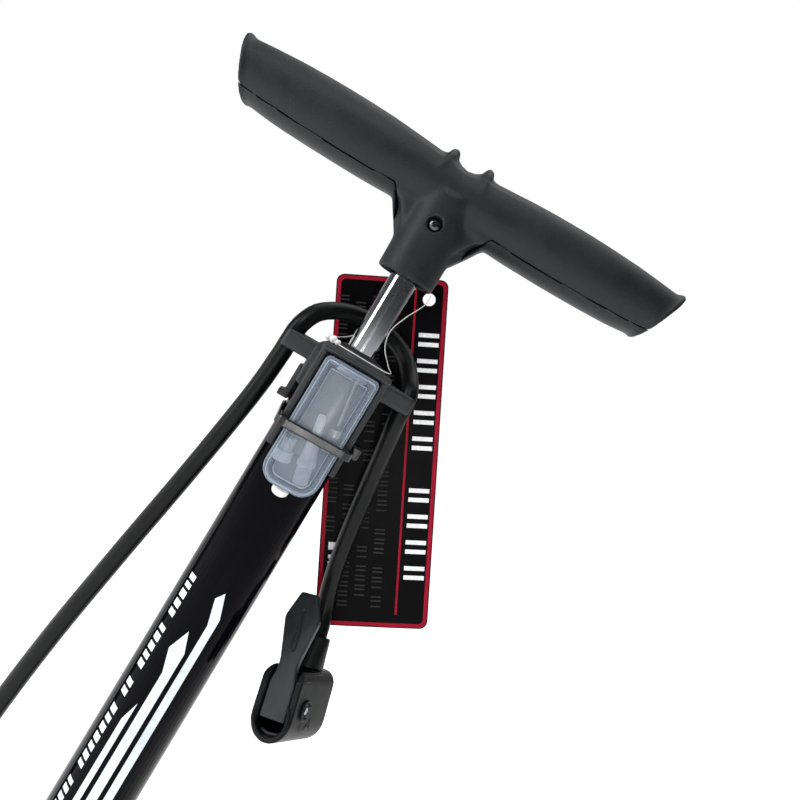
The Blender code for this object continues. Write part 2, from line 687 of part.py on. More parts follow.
def top_cap():
    cap = bake(solid_of_revolution("top_cap", (
        (0.0, CAP_TOP), (12.5 * MM, CAP_TOP), (16.0 * MM, CAP_TOP - 1.6 * MM),
        (19.2 * MM, CAP_TOP - 4.2 * MM), (CAP_RADIUS, CAP_TOP - 7.5 * MM), (CAP_RADIUS, CAP_BOTTOM + MM),
        (CAP_RADIUS - MM, CAP_BOTTOM), (0.0, CAP_BOTTOM),
    )))
    back = block(
        "cap_back", (35.2 * MM, 5.4 * MM, 530.2 * MM - RAIL_BOTTOM),
        (0.0, -(BOX_BACK - 3.3 * MM), 0.5 * (530.2 * MM + RAIL_BOTTOM)),
    )
    brow = block("cap_brow", (36.0 * MM, 13.0 * MM, 3.4 * MM), (0.0, -25.4 * MM, 528.8 * MM))
    join(cap, bevel(back, 0.6 * MM, 1), bevel(brow, 1.0 * MM, 1))
    for side in (-1, 1):
        rail = block(
            "cap_rail", (3.4 * MM, 9.2 * MM, 528.0 * MM - RAIL_BOTTOM - MM),
            (side * (0.5 * BOX_WIDTH + GAP + 1.9 * MM), -24.8 * MM, 0.5 * (528.0 * MM + RAIL_BOTTOM)),
        )
        arm = block(
            "cap_arm", (18.0 * MM, 14.4 * MM, CLIP_HIGH - CLIP_LOW),
            (side * 27.0 * MM, 0.0, 0.5 * (CLIP_HIGH + CLIP_LOW)),
        )
        join(cap, bevel(rail, 0.6 * MM, 1), bevel(arm, 1.2 * MM, 1))
    hook = block("cap_hook", (5.0 * MM, 9.0 * MM, 18.0 * MM), (-20.2 * MM, 3.0 * MM, 504.0 * MM))
    hook_foot = block("cap_hook_foot", (7.0 * MM, 8.4 * MM, 3.6 * MM), (-21.8 * MM, 3.0 * MM, 496.4 * MM))
    join(cap, hook, hook_foot)
    for side in (-1, 1):
        hold = cylinder(
            "clip_bore", HOSE_RADIUS + 0.9 * MM, CLIP_LOW - 3.0 * MM, CLIP_HIGH + 3.0 * MM,
            (side * CLIP_REACH, 0.0), segments=24,
        )
        mouth = block(
            "clip_mouth", (9.0 * MM, 7.6 * MM, 20.0 * MM),
            (side * (CLIP_REACH + 5.0 * MM), 0.0, 0.5 * (CLIP_HIGH + CLIP_LOW)),
        )
        cut(cap, hold, mouth)
    near_clips = [point for point in hose_path() if point.z > CLIP_LOW - 14.0 * MM]
    clearance = bake(tube("hose_clearance", near_clips, HOSE_RADIUS + 0.5 * MM, 3))
    clearance.matrix_world = Matrix.Rotation(-CAP_TURN, 4, "Z")
    cut(cap, clearance)
    space = cylinder("cap_space", BARREL_RADIUS + GAP, RAIL_BOTTOM - 5.0 * MM, BARREL_TOP + GAP, segments=40)
    rod_way = cylinder("cap_rod_way", 10.3 * MM, BARREL_TOP - 2.0 * MM, CAP_TOP + 5.0 * MM)
    cut(cap, space, rod_way)
    finish_part(on_cap(bake(cap)), BLACK_PLASTIC)


def rod_guide():
    bush = turned("rod_bush", (
        (10.0 * MM, 530.0 * MM), (10.0 * MM, 525.2 * MM), (17.4 * MM, 525.2 * MM), (17.4 * MM, 520.0 * MM),
        (ROD_RADIUS + GAP, 520.0 * MM), (ROD_RADIUS + GAP, 530.0 * MM),
    ))
    finish_part(bush, GREY_PLASTIC)
    wiper = turned("rod_wiper", (
        (8.6 * MM, 533.4 * MM), (10.0 * MM, 532.4 * MM), (10.0 * MM, 530.3 * MM),
        (ROD_RADIUS + 0.2 * MM, 530.3 * MM), (ROD_RADIUS + 0.2 * MM, 533.4 * MM),
    ))
    finish_part(wiper, RUBBER)


def box_outline(shrink=0.0):
    """Front view of the accessory box: nearly square shoulders, round lower corners."""
    half = 0.5 * BOX_WIDTH - shrink
    top = BOX_TOP - shrink
    bottom = BOX_BOTTOM + shrink
    small = 2.2 * MM
    large = 8.5 * MM - shrink
    points = arc((half - small, top - small), small, 0, 90, 3)
    points += arc((small - half, top - small), small, 90, 180, 3)
    points += arc((large - half, bottom + large), large, 180, 270, 6)
    points += arc((half - large, bottom + large), large, 270, 360, 6)
    return points


def on_front(thing, near, far):
    """Stand a plate upright between two distances in front of the barrel's axis."""
    thing.matrix_world = Matrix.Translation((0.0, -0.5 * (near + far), 0.0)) @ Matrix.Rotation(
        0.5 * math.pi, 4, "X"
    )
    return thing


def accessory_box():
    shell = on_front(bake(plate("accessory_box", box_outline(), BOX_FRONT - BOX_BACK)), BOX_BACK, BOX_FRONT)
    bevel(shell, 1.6 * MM, 3)
    near = BOX_BACK - 2.0 * MM
    far = BOX_FRONT - BOX_WALL
    inside = on_front(bake(plate("box_inside", box_outline(BOX_WALL), far - near)), near, far)
    cut(shell, inside)
    tab = block("box_tab", (14.4 * MM, 2.4 * MM, 3.0 * MM), (0.0, -(BOX_FRONT + 0.8 * MM), 523.6 * MM))
    join(shell, bevel(tab, 0.7 * MM, 2))
    finish_part(on_cap(bake(shell)), CLEAR)


def adapter_blank(name, profile, place, lean):
    piece = bake(solid_of_revolution(name, profile, 24))
    piece.matrix_world = (
        Matrix.Translation(Vector(place) * MM) @ Matrix.Rotation(math.radians(lean), 4, "Y")
    )
    return on_cap(piece)


def adapters():
    cone = adapter_blank("adapter_cone", (
        (0.0, 33.0 * MM), (1.6 * MM, 33.0 * MM), (2.4 * MM, 22.0 * MM), (4.2 * MM, 10.0 * MM),
        (4.4 * MM, 9.0 * MM), (3.6 * MM, 8.5 * MM), (3.6 * MM, 0.0), (0.0, 0.0),
    ), (5.4, -28.6, 468.6), -12.0)
    finish_part(cone, FROSTED)
    needle = adapter_blank("adapter_needle", (
        (0.0, 36.0 * MM), (0.9 * MM, 35.0 * MM), (0.9 * MM, 13.0 * MM), (3.4 * MM, 11.0 * MM),
        (3.4 * MM, 0.0), (0.0, 0.0),
    ), (9.0, -28.6, 487.5), -8.0)
    finish_part(needle, STEEL)
    presta = adapter_blank("adapter_presta", (
        (0.0, 11.0 * MM), (3.0 * MM, 11.0 * MM), (3.0 * MM, 5.0 * MM), (4.2 * MM, 5.0 * MM),
        (4.2 * MM, 0.0), (0.0, 0.0),
    ), (-7.4, -28.6, 474.0), -6.0)
    finish_part(presta, FROSTED)


def strap_tie():
    """A tie round the barrel, the rails and the box, with its head at the right."""
    half = 0.5 * BOX_WIDTH + GAP + 4.2 * MM
    front = BOX_FRONT + GAP + 0.1 * MM
    wrap = BARREL_RADIUS + GAP
    thick = 1.3 * MM

    def loop(grow):
        side = half + grow
        face = front + grow
        corner = 3.0 * MM + grow
        back = wrap + grow
        points = arc((side - corner, corner - face), corner, 0, -90, 4)
        points += arc((corner - side, corner - face), corner, -90, -180, 4)
        points += arc((0.0, 0.0), back, 178, 2, 16)
        return points

    band = bake(plate("strap_tie", loop(thick), 4.2 * MM, (loop(0.0),)))
    band.location = (0.0, 0.0, TIE_HEIGHT)
    head = block(
        "tie_head", (5.6 * MM, 7.4 * MM, 6.6 * MM), (half + 3.6 * MM, -12.0 * MM, TIE_HEIGHT - 0.6 * MM)
    )
    join(band, bevel(head, 0.8 * MM, 2))
    finish_part(on_cap(bake(band)), SATIN_PLASTIC)


# Hose and chuck

def hose():
    finish_part(tube("hose", hose_path(), HOSE_RADIUS, 2), RUBBER)


def chuck_frame():
    """The chuck's own axes: X is its pin, Y its lever's face, Z points down its long axis."""
    down = Vector((
        math.sin(CHUCK_TILT) * math.cos(CHUCK_LEAN), -math.sin(CHUCK_LEAN),
        -math.cos(CHUCK_TILT) * math.cos(CHUCK_LEAN),
    ))
    ahead = Vector((0.0, -1.0, 0.0))
    ahead = (ahead - ahead.dot(down) * down).normalized()
    face = math.cos(CHUCK_TURN) * ahead - math.sin(CHUCK_TURN) * ahead.cross(down)
    pin = face.cross(down)
    turn = Matrix((pin, face, down)).transposed().to_4x4()
    return Matrix.Translation(CHUCK_CENTRE) @ turn


def on_chuck(thing):
    bpy.context.view_layer.update()
    thing.matrix_world = chuck_frame() @ thing.matrix_world
    return thing


def along_face(thing, low, high):
    """Stand a plate drawn in (pin, down) so that it runs between two distances along the face."""
    thing.matrix_world = Matrix.Translation((0.0, 0.5 * (low + high), 0.0)) @ Matrix.Rotation(
        0.5 * math.pi, 4, "X"
    )
    return thing


def across(name, half_length, radius, segments=20):
    """A cylinder on the pivot's axis."""
    return rod_between(
        name, (-half_length, PIN_FORWARD, PIN_DROP), (half_length, PIN_FORWARD, PIN_DROP), radius, segments
    )


def chuck_outline():
    """Front view of the chuck: round at the bottom, with soft shoulders at the top."""
    half = 0.5 * CHUCK_WIDTH
    shoulder = 6.5 * MM
    points = arc((0.0, CHUCK_HALF_HEIGHT - half), half, 0, 180, 14)
    points += arc((shoulder - half, shoulder - CHUCK_HALF_HEIGHT), shoulder, 180, 270, 5)
    points += arc((half - shoulder, shoulder - CHUCK_HALF_HEIGHT), shoulder, 270, 360, 5)
    return points


def chuck_body():
    half_depth = 0.5 * CHUCK_DEPTH
    body = bake(plate("chuck_body", chuck_outline(), CHUCK_DEPTH))
    body = along_face(body, -half_depth, half_depth)
    bevel(body, 2.6 * MM, 3, 50.0)
    boss = across("chuck_boss", 0.5 * CHUCK_WIDTH + 0.7 * MM, 4.2 * MM, 28)
    join(body, bevel(boss, 0.5 * MM, 1))
    slope = block("chuck_slope", (40.0 * MM, 24.0 * MM, 30.0 * MM), (0.0, 24.6 * MM, -25.4 * MM))
    slope.rotation_euler = (math.radians(-30.0), 0.0, 0.0)
    cut(body, slope)
    slot_outline = rounded_rectangle(15.4 * MM, 60.0 * MM, 4.8 * MM, 5, (0.0, -16.2 * MM))
    slot = along_face(bake(plate("chuck_slot", slot_outline, 20.0 * MM)), 2.4 * MM, 22.4 * MM)
    cut(body, slot, across("chuck_sweep", 7.7 * MM, 12.4 * MM, 36))
    hose_way = cylinder("chuck_hose_way", 6.5 * MM, -30.0 * MM, -12.4 * MM, (0.0, -HOSE_BEHIND), segments=28)
    cut(body, hose_way)
    for name, drop, radius, _ in PORTS:
        well = rod_between(
            "chuck_well_" + name, (0.0, -25.0 * MM, drop), (0.0, -5.8 * MM, drop), radius, 28
        )
        cut(body, well)
    cut(body, across("chuck_pin_way", 20.0 * MM, PIN_RADIUS + GAP))
    finish_part(on_chuck(bake(body)), GREY_PLASTIC)


def chuck_ports():
    """Gasket and threaded cap in each of the two wells."""
    for name, drop, radius, hole in PORTS:
        outer = radius - GAP
        gasket = bake(turned(name + "_gasket", ring_profile(hole, outer, -12.6 * MM, -6.1 * MM), 28))
        cap = bake(turned(name + "_cap", ring_profile(hole + 0.6 * MM, outer, -19.4 * MM, -12.9 * MM), 28))
        for piece, look in ((gasket, RUBBER), (cap, SATIN_PLASTIC)):
            piece.matrix_world = Matrix.Translation((0.0, 0.0, drop)) @ Matrix.Rotation(
                -0.5 * math.pi, 4, "X"
            )
            finish_part(on_chuck(piece), look)


def lever_outline():
    """The lever seen on its face: blunt tip, wide blade, narrow neck, square foot."""
    half = (
        (4.0, -51.3), (4.9, -50.6), (9.5, -39.5), (9.7, -37.6), (5.5, -20.0), (5.2, -17.0), (5.6, -13.5),
        (7.1, -9.0), (7.1, 6.6), (6.5, 7.2),
    )
    right = [(x * MM, z * MM) for x, z in half]
    return right + [(-x, z) for x, z in reversed(right)]


def chuck_lever():
    blade = along_face(bake(plate("chuck_lever", lever_outline(), 3.8 * MM)), 14.4 * MM, 18.2 * MM)
    bevel(blade, 0.8 * MM, 2, 50.0)
    spine = block("lever_spine", (8.0 * MM, 4.0 * MM, 34.0 * MM), (0.0, 13.4 * MM, -20.0 * MM))
    cam = block("lever_cam", (14.2 * MM, 12.4 * MM, 14.0 * MM), (0.0, 9.6 * MM, -1.2 * MM))
    join(blade, bevel(spine, 1.0 * MM, 1), bevel(cam, 2.4 * MM, 3))
    cut(blade, across("lever_pin_way", 20.0 * MM, PIN_RADIUS + GAP))
    groove = plate("lever_groove", (
        (1.5 * MM, -25.4 * MM), (1.1 * MM, -24.0 * MM), (0.0, -23.4 * MM), (-1.1 * MM, -24.0 * MM),
        (-1.5 * MM, -25.4 * MM), (-1.1 * MM, -36.0 * MM), (0.0, -46.0 * MM), (1.1 * MM, -36.0 * MM),
    ), 3.0 * MM)
    cut(blade, along_face(bake(groove), 17.4 * MM, 20.4 * MM))
    finish_part(on_chuck(bake(blade)), GREY_PLASTIC)
    pin = across("chuck_pin", 0.5 * CHUCK_WIDTH + 1.0 * MM, PIN_RADIUS)
    finish_part(on_chuck(bevel(pin, 0.3 * MM, 1)), STEEL)


def chuck_collar():
    """The tapered collar that grips the hose where it enters the chuck."""
    collar = bake(turned("chuck_collar", (
        (6.2 * MM, -12.8 * MM), (6.2 * MM, -17.3 * MM), (7.8 * MM, -17.4 * MM), (6.7 * MM, -31.4 * MM),
        (6.2 * MM, -32.0 * MM), (5.15 * MM, -32.0 * MM), (5.15 * MM, -12.8 * MM),
    ), 28))
    collar.location = (0.0, -HOSE_BEHIND, 0.0)
    finish_part(on_chuck(collar), GREY_PLASTIC)


# Hang tag

def hang_tag():
    top = 11.5 * MM
    outline = rounded_rectangle(TAG_WIDTH, TAG_LENGTH, 4.0 * MM, 4, (-21.0 * MM, top - 0.5 * TAG_LENGTH))
    card = bake(plate("hang_tag", outline, 0.8 * MM, (arc((0.0, 0.0), 3.6 * MM, 0, 345, 23),)))
    card.matrix_world = Matrix.Translation(TAG_HOLE) @ Matrix.Rotation(
        -TAG_TILT, 4, "Y"
    ) @ Matrix.Rotation(0.5 * math.pi, 4, "X")
    finish_part(card, CARD)


def tag_loop():
    """The moulded nylon loop: through the tag's hole and round the foot of the rod."""
    route = (
        (15.6, 41.2, 579.0), (16.0, 38.5, 576.5), (15.0, 34.0, 571.0), (10.0, 24.0, 560.0),
        (7.0, 18.2, 550.0), (9.0, 16.4, 541.0), (15.5, 10.5, 533.6), (18.6, 0.0, 531.4),
        (14.0, -12.5, 531.2), (3.0, -17.6, 531.4),
        (-8.0, -16.4, 531.4), (-16.0, -9.0, 531.2), (-18.4, 0.0, 531.4), (-15.0, 10.0, 533.0),
        (-9.0, 15.8, 537.5), (-4.0, 17.3, 546.0), (0.0, 18.6, 556.0), (4.5, 27.0, 571.0),
        (8.6, 35.6, 585.5), (9.6, 38.5, 589.4), (10.8, 41.0, 586.5), (13.6, 41.6, 581.5),
    )
    points = smooth_path([Vector(point) * MM for point in route], 5.0 * MM)
    finish_part(tube("tag_loop", points, 0.45 * MM, 0), NYLON)


def main():
    clear_scene()
    foot_base()
    foot_pads()
    tread_pads()
    air_outlet()
    foot_valve()
    barrel()
    piston()
    handle()
    top_cap()
    rod_guide()
    accessory_box()
    adapters()
    strap_tie()
    hose()
    chuck_body()
    chuck_ports()
    chuck_lever()
    chuck_collar()
    hang_tag()
    tag_loop()
    bpy.context.view_layer.update()


main()
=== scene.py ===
"""Looks of the floor bike pump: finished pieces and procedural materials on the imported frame.

The pump stands on z = 0 with its barrel on the Z axis, the handle along X and the accessory box
towards -Y. The scene is in metres. Shapes are written in millimetres and turned by MM.
"""
import math
import random

import bmesh
import bpy
from mathutils import Matrix, Vector, noise


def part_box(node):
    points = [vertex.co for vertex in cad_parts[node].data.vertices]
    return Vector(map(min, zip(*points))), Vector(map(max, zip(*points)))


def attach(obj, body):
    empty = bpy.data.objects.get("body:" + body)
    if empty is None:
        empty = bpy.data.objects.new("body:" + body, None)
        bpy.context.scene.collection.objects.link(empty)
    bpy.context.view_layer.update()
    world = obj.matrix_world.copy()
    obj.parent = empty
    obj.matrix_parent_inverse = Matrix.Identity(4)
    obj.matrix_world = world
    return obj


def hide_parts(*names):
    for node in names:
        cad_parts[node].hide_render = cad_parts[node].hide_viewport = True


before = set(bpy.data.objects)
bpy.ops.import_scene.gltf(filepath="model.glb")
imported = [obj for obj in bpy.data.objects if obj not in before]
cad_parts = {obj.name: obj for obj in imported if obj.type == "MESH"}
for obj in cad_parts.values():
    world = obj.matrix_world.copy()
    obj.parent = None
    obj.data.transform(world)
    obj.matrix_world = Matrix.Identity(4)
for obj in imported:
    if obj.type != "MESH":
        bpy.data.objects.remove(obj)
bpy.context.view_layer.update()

MM = 0.001
FRAME_WELD = 2e-6
SEAM_WELD = 1e-7
FERRULE_WELD = 1e-6
ON_AXIS = 1e-6
SPAN_STEPS = 24
BLEND_ROUNDS = 60

# The cap, its box and the adapters are turned a little to the right of the barrel's front
CAP_TURN = math.radians(6.5)
ON_CAP = Matrix.Rotation(CAP_TURN, 4, "Z")
HOSE_RADIUS = 4.75 * MM
HOSE_SPACING = 4.0 * MM
TAG_HOLE = Vector((16.0, 38.5, 576.5)) * MM
TAG_TILT = math.radians(27.2)
HOSE_ROUTE_MM = (
    (-46.0, 0.0, 37.0), (-46.3, 0.0, 55.0), (-50.5, 0.0, 90.0), (-57.0, 0.0, 135.0),
    (-62.5, 0.0, 185.0), (-64.8, 0.0, 235.0), (-63.2, 0.0, 285.0), (-58.3, 0.0, 335.0),
    (-50.4, -0.5, 388.0), (-41.9, -1.2, 440.0), (-35.0, -2.9, 487.0), (-33.0, -3.7, 511.0),
    (-32.8, -3.7, 521.0), (-32.2, -2.2, 530.0), (-28.6, 5.5, 539.5), (-19.5, 16.0, 546.0),
    (-7.0, 23.5, 549.0), (7.0, 26.3, 547.6), (19.5, 22.5, 542.5), (27.6, 15.6, 534.6),
    (32.0, 6.4, 527.6), (32.9, 3.9, 521.0), (33.5, 4.6, 512.0), (35.6, 10.6, 499.0),
    (38.7, 20.0, 476.6), (42.1, 24.5, 452.7), (46.1, 28.6, 429.2), (49.6, 31.2, 414.0),
    (53.2, 32.2, 402.6), (56.4, 30.0, 393.9), (57.8, 27.8, 388.5), (59.7, 24.7, 381.4),
    (61.3, 22.1, 375.1),
)


# Geometry helpers

def share(value):
    """The value, held between 0 and 1."""
    return min(1.0, max(0.0, value))


def smooth_path(points, spacing):
    """Points at even spacing along a Catmull-Rom curve through the given points."""
    route = [Vector(point) for point in points]
    padded = [2 * route[0] - route[1]] + route + [2 * route[-1] - route[-2]]
    dense = []
    for index in range(1, len(padded) - 2):
        before, start, end, after = padded[index - 1:index + 3]
        for step in range(SPAN_STEPS):
            u = step / SPAN_STEPS
            dense.append(0.5 * (
                2 * start + (end - before) * u
                + (2 * before - 5 * start + 4 * end - after) * u * u
                + (3 * start - before - 3 * end + after) * u ** 3
            ))
    dense.append(route[-1])
    lengths = [0.0]
    for first, second in zip(dense, dense[1:]):
        lengths.append(lengths[-1] + (second - first).length)
    count = max(2, round(lengths[-1] / spacing))
    even = []
    index = 0
    for step in range(count + 1):
        target = lengths[-1] * step / count
        while index < len(lengths) - 2 and lengths[index + 1] < target:
            index += 1
        part = (target - lengths[index]) / (lengths[index + 1] - lengths[index])
        even.append(dense[index].lerp(dense[index + 1], share(part)))
    return even


def add_object(name, data):
    thing = bpy.data.objects.new(name, data)
    bpy.context.scene.collection.objects.link(thing)
    return thing


def from_bmesh(name, bm, sharp=40.0):
    """An object made of the faces in bm, smooth except at edges over the angle in degrees."""
    bmesh.ops.recalc_face_normals(bm, faces=bm.faces)
    mesh = bpy.data.meshes.new(name)
    bm.to_mesh(mesh)
    bm.free()
    mesh.shade_smooth()
    mesh.set_sharp_from_angle(angle=math.radians(sharp))
    return add_object(name, mesh)


def tube(name, points, radius, resolution=5):
    curve = bpy.data.curves.new(name, "CURVE")
    curve.dimensions = "3D"
    curve.bevel_depth = radius
    curve.bevel_resolution = resolution
    curve.use_fill_caps = True
    spline = curve.splines.new("POLY")
    spline.points.add(len(points) - 1)
    for point, place in zip(spline.points, points):
        point.co = (*place, 1.0)
    return add_object(name, curve)


def place(thing, body, look, replaced=(), slot=None):
    """Give a piece its material, let it ride, and hide the frame nodes it stands for."""
    thing.data.materials.clear()
    thing.data.materials.append(look)
    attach(thing, body)
    if replaced:
        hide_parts(*replaced)
    return thing


def baked(thing, name):
    """The mesh that an object's modifiers or curve make. The object itself is removed."""
    bpy.context.view_layer.update()
    graph = bpy.context.evaluated_depsgraph_get()
    mesh = bpy.data.meshes.new_from_object(thing.evaluated_get(graph))
    bpy.data.objects.remove(thing)
    mesh.name = name
    return mesh


def refined(node, name, voxel, rounds, relief=None, blend=None):
    """A finely meshed copy of a frame node with softened edges and, if given, surface relief."""
    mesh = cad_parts[node].data.copy()
    welded = bmesh.new()
    welded.from_mesh(mesh)
    bmesh.ops.remove_doubles(welded, verts=welded.verts, dist=FRAME_WELD)
    welded.to_mesh(mesh)
    welded.free()
    rough = add_object(name + "_raw", mesh)
    skin = rough.modifiers.new("skin", "REMESH")
    skin.mode = "VOXEL"
    skin.voxel_size = voxel
    skin.use_smooth_shade = True
    soft = rough.modifiers.new("soft", "SMOOTH")
    soft.factor = 0.5
    soft.iterations = rounds
    fine = baked(rough, name)
    if blend:
        fine = blended(fine, name, blend)
    if name.startswith("handle"):
        for vertex in fine.vertices:
            round_grip(vertex.co)
    if relief:
        normals = [vertex.normal.copy() for vertex in fine.vertices]
        for vertex, normal in zip(fine.vertices, normals):
            vertex.co += relief(vertex.co / MM) * MM * normal
    fine.shade_smooth()
    return add_object(name, fine)


def blended(mesh, name, weight):
    """Smooth a mesh strongly where weight(point in mm) is near one, so its parts flow together."""
    rough = add_object(name + "_raw", mesh)
    group = rough.vertex_groups.new(name="blend")
    for vertex in mesh.vertices:
        amount = weight(vertex.co / MM)
        if amount > 0.01:
            group.add([vertex.index], min(1.0, amount), "REPLACE")
    flow = rough.modifiers.new("flow", "SMOOTH")
    flow.factor = 0.5
    flow.iterations = BLEND_ROUNDS
    flow.vertex_group = "blend"
    return baked(rough, name)


def lathe_rings(bm, profile, steps, turn=Matrix.Identity(4)):
    """Turn an open profile of (radius, height) in mm about Z; zero radii close on the axis."""
    rings = []
    for radius, height in profile:
        if radius < ON_AXIS:
            rings.append([bm.verts.new(turn @ Vector((0.0, 0.0, height * MM)))])
            continue
        ring = []
        for step in range(steps):
            angle = 2 * math.pi * step / steps
            ring.append(bm.verts.new(turn @ Vector((
                radius * MM * math.cos(angle), radius * MM * math.sin(angle), height * MM
            ))))
        rings.append(ring)
    for first, second in zip(rings, rings[1:]):
        for step in range(steps):
            after = (step + 1) % steps
            if len(first) == 1 and len(second) > 1:
                bm.faces.new((first[0], second[step], second[after]))
            elif len(second) == 1 and len(first) > 1:
                bm.faces.new((first[step], second[0], first[after]))
            elif len(first) > 1:
                bm.faces.new((first[step], second[step], second[after], first[after]))


def skin_rings(bm, rings, cap_first=True, cap_last=True):
    """Join closed rings of points one after another, and close the two ends if asked."""
    made = [[bm.verts.new(point) for point in ring] for ring in rings]
    for first, second in zip(made, made[1:]):
        for index in range(len(first)):
            after = (index + 1) % len(first)
            bm.faces.new((first[index], first[after], second[after], second[index]))
    if cap_first:
        bm.faces.new(made[0])
    if cap_last:
        bm.faces.new(made[-1])


def arc(centre, radius, start, end, count):
    """Points on a circle from one angle to another, in degrees."""
    points = []
    for step in range(count + 1):
        angle = math.radians(start + (end - start) * step / count)
        points.append((centre[0] + radius * math.cos(angle), centre[1] + radius * math.sin(angle)))
    return points


def rounded_rectangle(width, height, radius, steps=6, centre=(0.0, 0.0)):
    """Outline of a rectangle with round corners, anticlockwise."""
    across = 0.5 * width - radius
    along = 0.5 * height - radius
    points = []
    for x, y, start in (
        (across, along, 0), (-across, along, 90), (-across, -along, 180), (across, -along, 270),
    ):
        points += arc((centre[0] + x, centre[1] + y), radius, start, start + 90, steps)
    return points


# Materials

CLOUD_STOPS = (0.34, 0.68)
GLOSS_BAND = (0.3, 0.7)
LEAST_ROUGHNESS = 0.02
GRAIN_SHARE = 0.35
GRAIN_TINTS = (0.35, 1.65)
SPECK_SCALE = 420.0
SPECK_EDGE = 0.03
HAZE_SCALE = 24.0
HAZE_BAND = (0.5, 0.7)
SCRATCH_STRETCH = (1.0, 1.0, 0.03)


def add_node(tree, kind, **values):
    """A shader node of the given kind, with the named sockets set."""
    made = tree.nodes.new("ShaderNode" + kind)
    for socket, value in values.items():
        made.inputs[socket.replace("_", " ")].default_value = value
    return made


def surface(
    name, dark, light, rough, spread=0.06, patch=60.0, grain=0.0, relief=0.03, metallic=0.0,
    stretch=(1.0, 1.0, 1.0), dust=0.0, dust_colour=(0.45, 0.46, 0.48), scratch=0.0, **sockets
):
    """Procedural finish: clouded colour and roughness, grain relief, dust specks, scratches.

    patch, grain and scratch are noise scales, relief is the height of the relief in mm, and any
    further value sets the shader socket of that name.
    """
    made = bpy.data.materials.new(name)
    made.use_nodes = True
    tree = made.node_tree
    link = tree.links.new
    shader = tree.nodes["Principled BSDF"]
    shader.inputs["Metallic"].default_value = metallic
    for key, value in sockets.items():
        shader.inputs[key.replace("_", " ")].default_value = value
    where = add_node(tree, "TexCoord")
    spot = add_node(tree, "Mapping", Scale=stretch)
    link(where.outputs["Object"], spot.inputs["Vector"])
    cloud = add_node(tree, "TexNoise", Scale=patch, Detail=6.0, Roughness=0.62)
    link(spot.outputs["Vector"], cloud.inputs["Vector"])
    ramp = add_node(tree, "ValToRGB")
    for stop, position, shade in zip(ramp.color_ramp.elements, CLOUD_STOPS, (dark, light)):
        stop.position = position
        stop.color = (*shade, 1.0)
    link(cloud.outputs["Fac"], ramp.inputs["Fac"])
    colour = ramp.outputs["Color"]
    gloss = add_node(
        tree, "MapRange", From_Min=GLOSS_BAND[0], From_Max=GLOSS_BAND[1],
        To_Min=max(LEAST_ROUGHNESS, rough - spread), To_Max=rough + spread,
    )
    link(cloud.outputs["Fac"], gloss.inputs["Value"])
    link(gloss.outputs["Result"], shader.inputs["Roughness"])
    height = None
    if grain:
        fine = add_node(tree, "TexNoise", Scale=grain, Detail=3.0)
        link(spot.outputs["Vector"], fine.inputs["Vector"])
        height = fine.outputs["Fac"]
        tint = tree.nodes.new("ShaderNodeMix")
        tint.data_type = "RGBA"
        tint.blend_type = "MULTIPLY"
        tint.inputs["Factor"].default_value = GRAIN_SHARE
        link(colour, tint.inputs[6])
        lift = add_node(tree, "MapRange", To_Min=GRAIN_TINTS[0], To_Max=GRAIN_TINTS[1])
        link(fine.outputs["Fac"], lift.inputs["Value"])
        link(lift.outputs["Result"], tint.inputs[7])
        colour = tint.outputs[2]
    if dust:
        specks = add_node(tree, "TexVoronoi", Scale=SPECK_SCALE)
        link(where.outputs["Object"], specks.inputs["Vector"])
        small = add_node(tree, "MapRange", From_Min=0.05 + 0.05 * dust, From_Max=SPECK_EDGE)
        link(specks.outputs["Distance"], small.inputs["Value"])
        haze = add_node(tree, "TexNoise", Scale=HAZE_SCALE, Detail=4.0)
        link(where.outputs["Object"], haze.inputs["Vector"])
        patchy = add_node(tree, "MapRange", From_Min=HAZE_BAND[0], From_Max=HAZE_BAND[1])
        link(haze.outputs["Fac"], patchy.inputs["Value"])
        both = add_node(tree, "Math")
        both.operation = "MULTIPLY"
        link(small.outputs["Result"], both.inputs[0])
        link(patchy.outputs["Result"], both.inputs[1])
        cover = tree.nodes.new("ShaderNodeMix")
        cover.data_type = "RGBA"
        link(both.outputs["Value"], cover.inputs["Factor"])
        link(colour, cover.inputs[6])
        cover.inputs[7].default_value = (*dust_colour, 1.0)
        colour = cover.outputs[2]
    if scratch:
        long = add_node(tree, "Mapping", Scale=SCRATCH_STRETCH)
        link(where.outputs["Object"], long.inputs["Vector"])
        lines = add_node(tree, "TexNoise", Scale=scratch, Detail=2.0)
        link(long.outputs["Vector"], lines.inputs["Vector"])
        height = lines.outputs["Fac"]
    if height is not None:
        bump = add_node(tree, "Bump", Strength=1.0, Distance=relief * MM)
        link(height, bump.inputs["Height"])
        link(bump.outputs["Normal"], shader.inputs["Normal"])
    link(colour, shader.inputs["Base Color"])
    return made


GRIP = surface(
    "grip_plastic", (0.0036, 0.0044, 0.0053), (0.0074, 0.0088, 0.0102),
    rough=0.50, spread=0.07, patch=38.0, grain=1300.0, relief=0.12, dust=0.35,
    dust_colour=(0.05, 0.05, 0.055), Specular_IOR_Level=0.33,
)
CAP = surface(
    "cap_plastic", (0.0085, 0.0098, 0.0118), (0.017, 0.0190, 0.0220),
    rough=0.48, spread=0.08, patch=60.0, grain=2400.0, relief=0.04, dust=0.3,
    dust_colour=(0.10, 0.10, 0.11), Specular_IOR_Level=0.45,
)
CHARCOAL = surface(
    "charcoal_plastic_look", (0.0030, 0.0034, 0.0040), (0.0062, 0.0068, 0.0076),
    rough=0.42, spread=0.07, patch=70.0, grain=2600.0, relief=0.03, dust=0.3,
    dust_colour=(0.04, 0.04, 0.045), Specular_IOR_Level=0.15,
)
LEVER = surface(
    "lever_plastic", (0.0105, 0.0118, 0.0150), (0.0180, 0.0200, 0.0245),
    rough=0.38, spread=0.06, patch=80.0, grain=2600.0, relief=0.02, Specular_IOR_Level=0.35,
)
